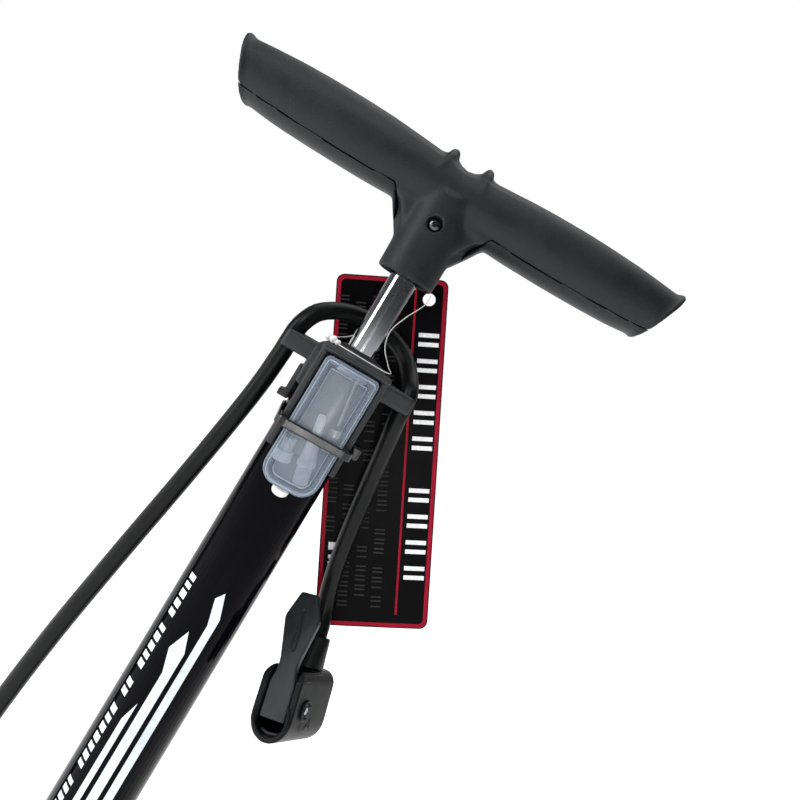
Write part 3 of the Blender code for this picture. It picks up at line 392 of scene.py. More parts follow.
TIE = surface(
    "tie_nylon", (0.003, 0.003, 0.0035), (0.007, 0.007, 0.008),
    rough=0.22, spread=0.05, patch=120.0, grain=1500.0, relief=0.01,
)
PAINT = surface(
    "gloss_paint", (0.0006, 0.0006, 0.0012), (0.0016, 0.0016, 0.0028),
    rough=0.09, spread=0.03, patch=26.0, grain=260.0, relief=0.003, dust=0.8,
    dust_colour=(0.11, 0.12, 0.14), Specular_IOR_Level=0.05,
)
HOSE = surface(
    "hose_rubber", (0.0012, 0.0015, 0.0018), (0.0031, 0.0036, 0.0041),
    rough=0.36, spread=0.07, patch=55.0, grain=1600.0, relief=0.02, dust=0.3,
    dust_colour=(0.05, 0.05, 0.05), Specular_IOR_Level=0.19,
)
RUBBER = surface(
    "pad_rubber", (0.006, 0.006, 0.006), (0.013, 0.013, 0.013),
    rough=0.68, spread=0.08, patch=90.0, grain=2200.0, relief=0.05, dust=0.4,
    dust_colour=(0.10, 0.10, 0.10), Specular_IOR_Level=0.35,
)
STEEL = surface(
    "rod_steel", (0.26, 0.27, 0.29), (0.46, 0.47, 0.49),
    rough=0.12, spread=0.05, patch=40.0, metallic=1.0, scratch=2600.0, relief=0.006,
    stretch=(1.0, 1.0, 0.15),
)
ZINC = surface(
    "zinc_fitting", (0.42, 0.42, 0.40), (0.66, 0.65, 0.61),
    rough=0.33, spread=0.1, patch=140.0, grain=900.0, relief=0.01, metallic=1.0,
)
SCREW = surface(
    "screw_black", (0.06, 0.06, 0.065), (0.13, 0.13, 0.135),
    rough=0.24, spread=0.05, patch=260.0, grain=1500.0, relief=0.01, metallic=1.0,
)
FROSTED = surface(
    "adapter_nylon", (0.40, 0.45, 0.51), (0.56, 0.61, 0.67),
    rough=0.30, spread=0.06, patch=120.0, grain=1200.0, relief=0.02, Subsurface_Weight=0.25,
    Subsurface_Scale=0.004,
)
KNOB = surface(
    "knob_nylon", (0.62, 0.63, 0.60), (0.80, 0.80, 0.76),
    rough=0.28, spread=0.06, patch=160.0, grain=1200.0, relief=0.02,
)
NYLON = surface(
    "loop_nylon", (0.50, 0.50, 0.50), (0.70, 0.70, 0.69),
    rough=0.25, spread=0.06, patch=220.0, grain=900.0, relief=0.01,
)
CARD = surface(
    "tag_card", (0.0006, 0.0005, 0.0008), (0.0015, 0.0012, 0.0019),
    rough=0.34, spread=0.07, patch=18.0, grain=700.0, relief=0.006, dust=0.3,
    dust_colour=(0.03, 0.03, 0.03), Specular_IOR_Level=0.05,
)
RED = surface(
    "tag_red_ink", (0.22, 0.0030, 0.0145), (0.33, 0.0060, 0.0240),
    rough=0.36, spread=0.06, patch=60.0, grain=700.0, relief=0.004, Specular_IOR_Level=0.06,
)
WHITE = surface(
    "tag_white_ink", (0.66, 0.67, 0.68), (0.80, 0.80, 0.80),
    rough=0.38, spread=0.06, patch=80.0, grain=700.0, relief=0.004,
)
GREY_INK = surface(
    "tag_grey_ink", (0.017, 0.017, 0.018), (0.032, 0.032, 0.034),
    rough=0.36, spread=0.06, patch=60.0, grain=700.0, relief=0.004, Specular_IOR_Level=0.06,
)
SILVER = surface(
    "barrel_silver_ink", (0.50, 0.55, 0.60), (0.68, 0.73, 0.78),
    rough=0.24, spread=0.06, patch=40.0, grain=500.0, relief=0.004,
)
BASE = surface(
    "base_enamel", (0.005, 0.005, 0.006), (0.012, 0.012, 0.014),
    rough=0.46, spread=0.08, patch=46.0, grain=1500.0, relief=0.05, dust=0.6,
    dust_colour=(0.10, 0.10, 0.10), Specular_IOR_Level=0.35,
)


def clear_material(name, tint, low, high, rough):
    """Milky clear plastic: see-through where it faces the eye, denser at its edges and steps."""
    lighter = tuple(min(1.0, 1.1 * value) for value in tint)
    made = surface(name, tint, lighter, rough, spread=0.05, patch=60.0, grain=500.0, relief=0.01)
    tree = made.node_tree
    facing = add_node(tree, "LayerWeight", Blend=0.35)
    dense = add_node(tree, "MapRange", To_Min=low, To_Max=high)
    tree.links.new(facing.outputs["Facing"], dense.inputs["Value"])
    tree.links.new(dense.outputs["Result"], tree.nodes["Principled BSDF"].inputs["Alpha"])
    return made


CLEAR = clear_material("box_clear", (0.22, 0.27, 0.34), low=0.24, high=0.85, rough=0.12)
# The border beads use a lighter tint of the same clear plastic, a painted highlight along the box's
# steps.
BORDER_PAINTED_HIGHLIGHT = clear_material("box_border_painted_highlight", (0.44, 0.50, 0.58), low=0.35, high=0.9, rough=0.08)


# Camera, at the photo's view

PHOTO_PIXELS = 800.0
FOCAL_PIXELS = 641.0
SENSOR_MM = 36.0
CAMERA_SHIFT = (-0.0425, -0.0775)
CAMERA_AT = (0.01803346, -0.32302768, 0.54670767)
CAMERA_ROLL = math.radians(30.8)
CAMERA_RISE = math.radians(2.0)
CAMERA_YAW = math.radians(1.8)


def add_camera():
    roll, rise, yaw = CAMERA_ROLL, CAMERA_RISE, CAMERA_YAW
    ahead = Vector((math.sin(yaw) * math.cos(rise), math.cos(yaw) * math.cos(rise), math.sin(rise)))
    level = Vector((math.cos(yaw), -math.sin(yaw), 0.0))
    upright = level.cross(ahead)
    right = level * math.cos(roll) + upright * math.sin(roll)
    up = -level * math.sin(roll) + upright * math.cos(roll)
    data = bpy.data.cameras.new("camera")
    data.sensor_width = SENSOR_MM
    data.lens = FOCAL_PIXELS / PHOTO_PIXELS * SENSOR_MM
    data.shift_x, data.shift_y = CAMERA_SHIFT
    data.clip_start = 0.01
    eye = add_object("camera", data)
    turn = Matrix((right, up, -ahead)).transposed().to_4x4()
    eye.matrix_world = Matrix.Translation(CAMERA_AT) @ turn
    bpy.context.scene.camera = eye


add_camera()


# Hose

def add_hose():
    points = smooth_path([Vector(point) * MM for point in HOSE_ROUTE_MM], HOSE_SPACING)
    hose = place(
        tube("air_hose", points, HOSE_RADIUS, 6), "pump_frame", HOSE, ("hose",), "black_rubber",
    )


# Handle. Heights, lengths and depths are in mm; x is taken from the middle of the handle.

GRIP_HEIGHT = 625.9
GRIP_START = 24.0
GRIP_LAST = 126.6
GRIP_POWER = 2.25
GRIP_SKIN = (0.935, 1.06)
END_START = 98.0
END_SLOPE_FROM = END_START - 13.0
HUB_REACH = 27.0
HUB_SPAN = (583.0, 634.0)
SCREW_HEIGHT = 604.8
SCREW_CLEAR = 5.2
ROD_CLEAR = 9.5
SHELL_SPLIT = 1.5
WEB_START = 16.5
WEB_END = 27.5
GRIP_SEAM = 613.6
SCALLOPS_TO = 103.0
SCALLOP_PITCH = 6.6
PEAK_HEIGHT = 646.0
SADDLE_HEIGHT = 632.0


def hub_blend(point):
    """Where the hub and its webs flow into the grips, clear of the rod, the screw and the peaks."""
    x, y, z = point
    amount = share(1.0 - max(0.0, abs(x) - HUB_REACH) / 9.0)
    amount *= share((z - HUB_SPAN[0]) / 6.0) * share((HUB_SPAN[1] - z) / 6.0)
    if y < 0.0:
        amount *= share((math.hypot(x, z - SCREW_HEIGHT) - SCREW_CLEAR) / 3.0)
    amount *= share((math.hypot(x, y) - ROD_CLEAR) / 3.0)
    amount *= share(abs(y - SHELL_SPLIT) / 2.5)
    if abs(x) > WEB_START:
        seam = GRIP_SEAM if abs(x) > WEB_END else 594.0 + (abs(x) - 18.5) * 2.2
        amount *= share((abs(z - seam) - 1.0) / 4.0)
    return amount


def grip_size(x):
    """Depth, reach above and reach below of the grip's rounded section, at x mm from the middle."""
    top = 17.5 - 0.00098 * (x - 68.0) ** 2
    lip_top = 1.7 * math.exp(-((x - 127.0) / 2.6) ** 2)
    bottom = 17.8 - 0.00055 * (x - 55.0) ** 2 + 1.1 * math.exp(-((x - 128.0) / 4.0) ** 2)
    depth = 15.5 - 0.00022 * (x - 62.0) ** 2 + 0.6 * lip_top
    return depth, top + lip_top, bottom


def round_grip(co):
    """Bring a point near the grip's skin onto its smooth rounded section."""
    x, y, z = abs(co.x / MM), co.y / MM, co.z / MM - GRIP_HEIGHT
    if x < GRIP_START:
        return
    if x > END_SLOPE_FROM:
        lean = (-13.4 * (16.5 - min(17.0, z)) / 33.0) / 30.0
        flat = (x + END_START * lean) / (1.0 + lean)
        x = flat if flat > END_START else x
    if x > GRIP_LAST:
        return
    depth, top, bottom = grip_size(x)
    reach = top if z > 0.0 else bottom
    out = (
        (abs(y) / depth) ** GRIP_POWER + (abs(z) / reach) ** GRIP_POWER
    ) ** (1.0 / GRIP_POWER)
    if GRIP_SKIN[0] < out < GRIP_SKIN[1]:
        amount = min(1.0, (x - GRIP_START) / 12.0) * min(1.0, (out - GRIP_SKIN[0]) / 0.02)
        scale = 1.0 + amount * (1.0 / out - 1.0)
        co.y = y * scale * MM
        co.z = (GRIP_HEIGHT + z * scale) * MM


def handle_relief(point):
    """Finger scallops along the top rear edge, and two ridges that run down from the peaks."""
    x, y, z = point
    push = 0.10 * noise.noise(Vector((x, y, z)) * 0.09)
    if z > GRIP_HEIGHT and GRIP_START < abs(x) < SCALLOPS_TO:
        round_top = math.atan2(y, z - GRIP_HEIGHT)
        band = math.exp(-((round_top - 0.42) / 0.40) ** 2)
        fade = min(1.0, (abs(x) - GRIP_START) / 5.0, (SCALLOPS_TO - abs(x)) / 5.0)
        push -= 0.75 * band * fade * abs(math.sin(math.pi * (abs(x) - 25.0) / SCALLOP_PITCH))
    if y < 9.0 and z > 624.0:
        drop = PEAK_HEIGHT - z
        ridge = math.exp(-((abs(x) - 9.6 - 0.16 * drop) / 1.7) ** 2)
        push += 1.5 * ridge * max(0.0, 1.0 - drop / 18.0)
        push += 0.7 * math.exp(-((abs(x) - 11.8) / 3.0) ** 2) * max(0.0, 1.0 - drop / 9.0)
    if z > SADDLE_HEIGHT:
        push += 1.0 * math.exp(-(x / 13.0) ** 2) * min(1.0, (z - SADDLE_HEIGHT) / 7.0)
    return push


for shell, piece in (("handle_front_shell", "handle_front"), ("handle_rear_shell", "handle_rear")):
    place(
        refined(shell, piece, 0.7 * MM, 4, handle_relief, hub_blend), "rod_and_handle", GRIP,
        (shell,), "matt_black_plastic",
    )


# Cap and tie

place(
    refined("top_cap", "cap_moulding", 0.55 * MM, 5), "pump_frame", CAP, ("top_cap",),
    "matt_black_plastic",
)
place(
    refined("strap_tie", "cable_tie", 0.32 * MM, 3), "pump_frame", TIE, ("strap_tie",),
    "satin_black_plastic",
)


# Chuck

CHUCK_CENTRE = (62.0, 10.0, 361.4)
CHUCK_TILT = math.radians(14.7)
CHUCK_LEAN = math.radians(22.3)
CHUCK_FACING = math.radians(25.0)
COLLAR_STEPS = 48
COLLAR_AXIS_Y = -6.7

chuck = place(
    refined("chuck_body", "chuck_housing", 0.42 * MM, 5), "pump_frame", CHARCOAL, ("chuck_body",),
    "charcoal_plastic",
)
lever = place(
    refined("chuck_lever", "chuck_thumb_lever", 0.34 * MM, 4), "chuck_lever", LEVER,
    ("chuck_lever",), "charcoal_plastic",
)


def chuck_turn():
    """The chuck's own axes: X is its pin, Y its lever's face, Z points down its long axis."""
    tilt, lean, turn = CHUCK_TILT, CHUCK_LEAN, CHUCK_FACING
    down = Vector((
        math.sin(tilt) * math.cos(lean), -math.sin(lean), -math.cos(tilt) * math.cos(lean),
    ))
    ahead = Vector((0.0, -1.0, 0.0))
    ahead = (ahead - ahead.dot(down) * down).normalized()
    face = math.cos(turn) * ahead - math.sin(turn) * ahead.cross(down)
    axes = Matrix((face.cross(down), face, down)).transposed().to_4x4()
    return Matrix.Translation(Vector(CHUCK_CENTRE) * MM) @ axes


def add_collar():
    """The neck of the chuck: round where it grips the hose, flaring to the housing's width."""
    bm = bmesh.new()
    rings = []
    for z, wide, deep, forward, power in (
        (-12.9, 6.1, 6.1, 0.0, 2.0), (-17.4, 6.1, 6.1, 0.0, 2.0), (-17.5, 8.0, 9.6, 3.4, 2.6),
        (-19.0, 7.8, 9.3, 3.0, 2.6), (-23.0, 7.4, 8.5, 1.9, 2.4), (-27.5, 7.1, 7.6, 0.8, 2.2),
        (-31.2, 6.9, 6.9, 0.0, 2.0), (-32.0, 6.4, 6.4, 0.0, 2.0), (-32.0, 5.15, 5.15, 0.0, 2.0),
        (-12.9, 5.15, 5.15, 0.0, 2.0),
    ):
        ring = []
        for step in range(COLLAR_STEPS):
            angle = 2 * math.pi * step / COLLAR_STEPS
            c, d = math.cos(angle), math.sin(angle)
            size = (abs(c) ** power + abs(d) ** power) ** (-1.0 / power)
            y = COLLAR_AXIS_Y + forward + deep * d * size
            ring.append(Vector((wide * c * size, y, z)) * MM)
        rings.append(ring)
    skin_rings(bm, rings + [rings[0]], False, False)
    bmesh.ops.remove_doubles(bm, verts=bm.verts, dist=SEAM_WELD)
    neck = from_bmesh("chuck_hose_collar", bm, 50.0)
    neck.matrix_world = chuck_turn()
    return place(neck, "pump_frame", CHARCOAL, ("chuck_collar",), "charcoal_plastic")


def on_housing(name, points, radius, look):
    """A thin moulded bead or line on the chuck, along points in the chuck's own axes, in mm."""
    line = tube(name, [Vector(point) * MM for point in points], radius * MM, 3)
    line.matrix_world = chuck_turn()
    return place(line, "pump_frame", look, slot="charcoal_plastic")


def add_chuck_details():
    """Rim and lip of the lever's slot, with a painted highlight on the lip, and the boss ring, seam
    and rib on each flank.
    """
    rim = [(x, 18.9, z) for x, z in arc((0.0, 5.75), 9.4, -35, 215, 26)]
    made = [on_housing("chuck_slot_rim", rim, 0.85, CHARCOAL)]
    # The housing's slot lip gets the lighter lever plastic, a painted highlight on the lip.
    lip = [
        (x, 15.4 - 0.04 * x * x, 13.3 - 0.03 * x * x)
        for x in (-5.2, -4.0, -2.0, 0.0, 2.0, 4.0, 5.2)
    ]
    made.append(on_housing("chuck_slot_lip_painted_highlight", lip, 0.85, LEVER))
    seam = ((17.0, -11.5), (12.5, -12.2), (9.6, -12.2), (8.6, -15.4), (-2.0, -15.6))
    low = ((9.0, 7.0), (7.8, 11.4), (3.4, 11.2), (-1.2, 4.6), (-2.2, 10.6))
    for label, side in (("left", -1), ("right", 1)):
        ring = [(side * 11.9, 8.0 + y, 0.5 + z) for y, z in arc((0.0, 0.0), 4.1, -150, 120, 20)]
        made.append(on_housing("chuck_boss_ring_" + label, ring, 0.62, CHARCOAL))
        line = [(side * 11.2, y, z) for y, z in seam]
        made.append(on_housing("chuck_seam_" + label, line, 0.16, TIE))
        rib = [(side * 11.2, y, z * 0.86) for y, z in low]
        made.append(on_housing("chuck_rib_" + label, rib, 0.15, TIE))
    return made


collar = add_collar()
chuck_extras = add_chuck_details()
add_hose()


# Foot

place(
    refined("foot_base", "foot_casting", 1.1 * MM, 4), "pump_frame", BASE, ("foot_base",),
    "matt_black_plastic",
)


# Accessory box, made in its own upright frame and then turned with the cap

BOX_HALF_WIDTH = 13.7
BOX_TOP = 526.4
BOX_BOTTOM = 464.0
BOX_MIDDLE = 495.0
TAB_HEIGHT = 523.6
KNOB_AT = (-0.6, -29.4, 461.9)


def box_outline(shrink):
    """Outline of the box at its front, in mm, brought in from its edge by shrink."""
    half = BOX_HALF_WIDTH - shrink
    top = BOX_TOP - shrink
    bottom = BOX_BOTTOM + shrink
    small = max(0.6, 2.4 - 0.5 * shrink)
    large = 8.5 - shrink
    points = arc((half - small, top - small), small, 0, 90, 5)
    points += arc((small - half, top - small), small, 90, 180, 5)
    points += arc((large - half, bottom + large), large, 180, 270, 10)
    points += arc((half - large, bottom + large), large, 270, 360, 10)
    return points


def box_ring(shrink, depth):
    return [Vector((x, -depth, z)) * MM for x, z in box_outline(shrink)]


def add_box_shell():
    outer = (
        (0.0, 23.6), (0.0, 30.6), (0.25, 30.8), (0.25, 31.3), (0.0, 31.5), (0.0, 33.2),
        (0.3, 34.2), (0.9, 34.8), (1.7, 35.0), (3.0, 35.0), (3.3, 34.8), (3.45, 34.2),
        (3.9, 34.05), (4.4, 34.2), (4.6, 34.7), (5.0, 34.8),
    )
    inner = ((1.2, 23.6), (1.2, 32.4), (1.6, 33.3), (2.4, 33.7), (4.8, 33.7))
    bm = bmesh.new()
    skin_rings(bm, [box_ring(*at) for at in reversed(inner)] + [box_ring(*at) for at in outer])
    tab = rounded_rectangle(14.0, 2.6, 1.1, 4, (0.0, TAB_HEIGHT))
    tab_rings = []
    for grow, depth in ((0.0, 34.4), (0.0, 36.2), (-0.25, 36.6), (-0.6, 36.75)):
        tab_rings.append([
            Vector((
                x + math.copysign(grow, x), -depth,
                TAB_HEIGHT + (z - TAB_HEIGHT) * (1.0 + grow * 0.5),
            )) * MM
            for x, z in tab
        ])
    skin_rings(bm, tab_rings)
    box = from_bmesh("box_lid", bm, 50.0)
    box.matrix_world = ON_CAP
    place(box, "accessory_box", CLEAR, ("accessory_box",), "clear_plastic")


def add_box_border():
    """Two raised beads that run round the front of the box, in a lighter tint of the box's clear
    plastic: a painted highlight along its steps.
    """
    toward = Vector((0.0, -1.0, 0.0))
    beads = bmesh.new()
    for shrink, depth, radius in ((1.5, 34.75, 0.42), (4.6, 34.7, 0.30)):
        loop = []
        for x, z in box_outline(shrink):
            out = Vector((x, 0.0, z - BOX_MIDDLE)).normalized()
            loop.append([
                Vector((x, -depth, z)) * MM
                + (math.cos(angle) * out + math.sin(angle) * toward) * radius * MM
                for angle in (math.pi * step / 4 for step in range(8))
            ])
        skin_rings(beads, loop + [loop[0]], False, False)
    bmesh.ops.remove_doubles(beads, verts=beads.verts, dist=SEAM_WELD)
    border = from_bmesh("box_border", beads, 60.0)
    border.matrix_world = ON_CAP
    place(border, "accessory_box", BORDER_PAINTED_HIGHLIGHT, slot="clear_plastic")


def add_box_knob():
    profile = (
        (0.0, 1.7), (0.8, 1.7), (1.2, 2.1), (2.0, 2.2), (3.1, 1.7), (3.8, 0.9), (4.1, 0.0),
        (4.1, -1.2), (3.4, -1.8), (0.0, -1.8),
    )
    bm = bmesh.new()
    lathe_rings(bm, profile, 28)
    button = from_bmesh("box_knob", bm)
    button.matrix_world = (
        ON_CAP @ Matrix.Translation(Vector(KNOB_AT) * MM) @ Matrix.Rotation(math.pi, 4, "X")
    )
    place(button, "accessory_box", KNOB, slot="frosted_plastic")


add_box_shell()
add_box_border()
add_box_knob()


# Adapters in the box

def threads(low, high, radius, depth, pitch):
    """Outline of a threaded stretch, from low to high."""
    points = []
    count = round((high - low) / pitch)
    for turn in range(count):
        base = low + (high - low) * turn / count
        points += [
            (radius - depth, base), (radius, base + 0.3 * pitch), (radius, base + 0.55 * pitch),
        ]
    return points + [(radius - depth, high)]


def add_adapter(name, node, profile, where, lean, look, slot):
    """A turned adapter that stands in the box at where, leaning by an angle in degrees."""
    bm = bmesh.new()
    lathe_rings(bm, profile, 32)
    piece = from_bmesh(name, bm, 35.0)
    piece.matrix_world = (
        ON_CAP @ Matrix.Translation(Vector(where) * MM)
        @ Matrix.Rotation(math.radians(lean), 4, "Y")
    )
    place(piece, "accessory_box", look, (node,), slot)


add_adapter(
    "valve_cone", "adapter_cone",
    [
        (0.0, 0.0), *threads(0.0, 8.0, 3.6, 0.45, 0.8), (4.4, 8.6), (4.4, 10.4), (4.0, 11.0),
        (2.9, 19.0), (2.4, 22.0), (1.9, 32.4), (1.6, 33.0), (0.8, 33.0), (0.8, 28.0), (0.0, 28.0),
    ],
    (5.4, -28.6, 468.6), -12.0, FROSTED, "frosted_plastic",
)
add_adapter(
    "ball_needle", "adapter_needle",
    [
        (0.0, 0.0), *threads(0.0, 7.0, 3.4, 0.4, 0.8), (3.4, 7.4), (3.4, 10.8), (2.4, 11.6),
        (1.0, 12.6), (0.9, 13.4), (0.9, 34.8), (0.5, 35.8), (0.0, 36.0),
    ],
    (9.0, -28.6, 487.5), -8.0, ZINC, "zinc_plate",
)
add_adapter(
    "presta_adapter", "adapter_presta",
    [
        (0.0, 0.0), (4.0, 0.0), (4.2, 0.3), (4.2, 4.8), (3.9, 5.0),
        *threads(5.1, 11.0, 3.0, 0.4, 0.75), (1.4, 11.0), (1.4, 8.0), (0.0, 8.0),
    ],
    (-7.4, -28.6, 474.0), -6.0, FROSTED, "frosted_plastic",
)


# Hang tag: a slightly bowed printed card in its own upright frame, with its hole at the origin.
# u runs across the card and v up it, in mm.

CARD_WIDTH = 63.0
CARD_LENGTH = 197.0
CARD_THICKNESS = 0.6
CARD_FRONT = 0.4
CARD_CENTRE = (-21.0, -87.0)
CARD_LEFT = -52.5
CARD_TOP = 11.5
CARD_ROWS = 40
CARD_COLUMNS = 10
HOLE_RADIUS = 3.6
INK_LIFT = 0.05
card_place = (
    Matrix.Translation(TAG_HOLE) @ Matrix.Rotation(-TAG_TILT, 4, "Y")
    @ Matrix.Rotation(0.5 * math.pi, 4, "X")
)


def bow(u, v):
    """How far the card bends back from flat, in mm."""
    down = max(0.0, -v - 20.0) / 165.0
    side = (u - CARD_CENTRE[0]) / 31.5
    return -1.9 * down * down - 0.35 * side * side * down - 0.25 * math.sin(3.1 * down)


def card_point(u, v, lift):
    return Vector((u, v, CARD_FRONT + lift + bow(u, v))) * MM


def cut_across(bm, point, normal):
    geometry = bm.verts[:] + bm.edges[:] + bm.faces[:]
    bmesh.ops.bisect_plane(bm, geom=geometry, plane_co=point, plane_no=normal)


def in_order(bm):
    """The same mesh with its points and faces in a fixed order, which cutting does not keep."""
    points = sorted(bm.verts, key=lambda vert: tuple(round(value, 7) for value in vert.co))
    number = {vert: index for index, vert in enumerate(points)}
    loops = sorted([number[vert] for vert in face.verts] for face in bm.faces)
    ordered = bmesh.new()
    made = [ordered.verts.new(vert.co) for vert in points]
    for loop in loops:
        ordered.faces.new([made[index] for index in loop])
    bm.free()
    return ordered


def add_card():
    """The card: a filled outline, cut into rows and columns, bent, and given its thickness."""
    curve = bpy.data.curves.new("card_flat", "CURVE")
    curve.dimensions = "2D"
    curve.fill_mode = "BOTH"
    for loop in (
        rounded_rectangle(CARD_WIDTH, CARD_LENGTH, 4.5, 8, CARD_CENTRE),
        arc((0.0, 0.0), HOLE_RADIUS, 0, 350, 35),
    ):
        spline = curve.splines.new("POLY")
        spline.points.add(len(loop) - 1)
        for point, (u, v) in zip(spline.points, loop):
            point.co = (u * MM, v * MM, 0.0, 1.0)
        spline.use_cyclic_u = True
    mesh = baked(add_object("card_flat", curve), "card_flat")
    bm = bmesh.new()
    bm.from_mesh(mesh)
    bmesh.ops.remove_doubles(bm, verts=bm.verts, dist=SEAM_WELD)
    bm.normal_update()
    for face in bm.faces:
        if face.normal.z < 0.0:
            face.normal_flip()
    for step in range(1, CARD_ROWS):
        cut_at = (CARD_TOP - CARD_LENGTH * step / CARD_ROWS) * MM
        cut_across(bm, (0.0, cut_at, 0.0), (0.0, 1.0, 0.0))
    for step in range(1, CARD_COLUMNS):
        cut_at = (CARD_LEFT + 6.3 * step) * MM
        cut_across(bm, (cut_at, 0.0, 0.0), (1.0, 0.0, 0.0))
    for vert in bm.verts:
        vert.co = card_point(vert.co.x / MM, vert.co.y / MM, 0.0)
    made = bmesh.ops.extrude_face_region(bm, geom=bm.faces[:])
    for vert in (item for item in made["geom"] if isinstance(item, bmesh.types.BMVert)):
        vert.co.z -= CARD_THICKNESS * MM
    card = from_bmesh("tag_card_sheet", in_order(bm), 30.0)
    card.matrix_world = card_place
    place(card, "hang_tag", CARD, ("hang_tag",), "printed_card")


def quad_patch(bm, corners, cells, at):
    """A fine patch between four (u, v) corners, laid on a curved surface by at(u, v)."""
    across, along = cells
    grid = []
    for row in range(along + 1):
        left = Vector(corners[0]).lerp(Vector(corners[3]), row / along)
        right = Vector(corners[1]).lerp(Vector(corners[2]), row / along)
        grid.append([
            bm.verts.new(at(*left.lerp(right, step / across))) for step in range(across + 1)
        ])
    for low, high in zip(grid, grid[1:]):
        for step in range(across):
            bm.faces.new((low[step], low[step + 1], high[step + 1], high[step]))


def rectangle(left, right, top, bottom):
    return ((left, bottom), (right, bottom), (right, top), (left, top))


def ink(u, v):
    return card_point(u, v, INK_LIFT)


def red_print():
    """A red border round the card and one thin line down it."""
    bm = bmesh.new()
    outer = rounded_rectangle(61.8, 195.8, 4.0, 8, CARD_CENTRE)
    inner = rounded_rectangle(57.6, 191.6, 2.6, 8, CARD_CENTRE)
    outer_fine = []
    inner_fine = []
    for index in range(len(outer)):
        after = (index + 1) % len(outer)
        pieces = max(1, round((Vector(outer[index]) - Vector(outer[after])).length / 5.0))
        for step in range(pieces):
            part = step / pieces
            outer_fine.append(Vector(outer[index]).lerp(Vector(outer[after]), part))
            inner_fine.append(Vector(inner[index]).lerp(Vector(inner[after]), part))
    rings = [[ink(*point) for point in ring] for ring in (outer_fine, inner_fine)]
    skin_rings(bm, rings, False, False)
    quad_patch(bm, rectangle(-8.3, -7.1, 9.0, -178.0), (1, 60), ink)
    return bm


def white_print():
    """Plain paired bars down the edge, and a small square with dashes under it."""
    bm = bmesh.new()
    for number in range(10):
        if number == 5:
            continue
        top = -19.0 - 14.6 * number
        quad_patch(bm, rectangle(-4.6, 6.9, top, top - 2.4), (4, 1), ink)
        quad_patch(bm, rectangle(-4.6, 6.9, top - 5.2, top - 7.6), (4, 1), ink)
    quad_patch(bm, rectangle(-47.6, -43.4, -139.0, -143.2), (1, 1), ink)
    for row in range(9):
        top = -146.0 - 3.6 * row
        quad_patch(bm, rectangle(-47.4, -44.4, top, top - 2.2), (1, 1), ink)
    return bm


def grey_print():
    """Four columns of faint dashes. The last one stops above the white square."""
    bm = bmesh.new()
    pick = random.Random(11)
    for column, bottom in enumerate((-176.0, -176.0, -176.0, -134.0)):
        left = -16.6 - 9.4 * column
        v = 2.0 - 6.0 * pick.random()
        while v > bottom:
            if pick.random() > 0.16:
                quad_patch(bm, rectangle(left - 5.6, left, v, v - 0.8), (2, 1), ink)
                if pick.random() > 0.3:
                    quad_patch(bm, rectangle(left - 5.6, left, v - 2.2, v - 3.0), (2, 1), ink)
            v -= 5.4
    return bm


def add_card_print():
    for name, bm, look in (
        ("tag_red", red_print(), RED), ("tag_white", white_print(), WHITE),
        ("tag_grey", grey_print(), GREY_INK),
    ):
        print_piece = from_bmesh(name, bm)
        print_piece.matrix_world = card_place
        for polygon in print_piece.data.polygons:
            if polygon.normal.z < 0.0:
                polygon.flip()
        place(print_piece, "hang_tag", look, slot="printed_card")


add_card()
add_card_print()


# Barrel graphics: plain bands and dashes laid on the tube. s runs round it, in mm.

BARREL_RADIUS = 19.0
PRINT_RADIUS = 19.05
DASHES_FROM = 408.0
DASHES_TO = 205.0
DASH_GAP = 1.5


def on_barrel(s, z):
    angle = s / BARREL_RADIUS
    return Vector((PRINT_RADIUS * math.sin(angle), -PRINT_RADIUS * math.cos(angle), z)) * MM


def add_barrel_print():
    bm = bmesh.new()
    bands = (
        (((5.6, 96.0), (9.6, 90.0), (9.6, 392.0), (5.6, 388.0)), (4, 60)),
        (((5.6, 388.0), (9.6, 392.0), (5.2, 405.0), (2.2, 401.0)), (4, 8)),
        (((-1.2, 100.0), (3.2, 96.0), (3.2, 372.0), (-1.2, 360.0)), (4, 50)),
        (((-1.2, 360.0), (3.2, 372.0), (-0.4, 382.0), (-4.6, 371.0)), (4, 8)),
        (((-6.6, 106.0), (-3.6, 103.0), (-3.6, 342.0), (-6.6, 332.0)), (3, 50)),
    )
    for corners, cells in bands:
        quad_patch(bm, corners, cells, on_barrel)
    pick = random.Random(4)
    z = DASHES_FROM
    while z > DASHES_TO:
        tall = 2.4 + 1.4 * pick.random()
        if pick.random() > 0.12:
            quad_patch(bm, rectangle(-15.6, -11.2, z, z - tall), (4, 1), on_barrel)
        z -= tall + DASH_GAP
    art = from_bmesh("barrel_bands", bm)
    place(art, "pump_frame", SILVER, slot="gloss_black_paint")


add_barrel_print()


# Nylon loop of the tag, with its moulded beads

THREAD_RADIUS = 0.28
THREAD_SPACING = 1.5


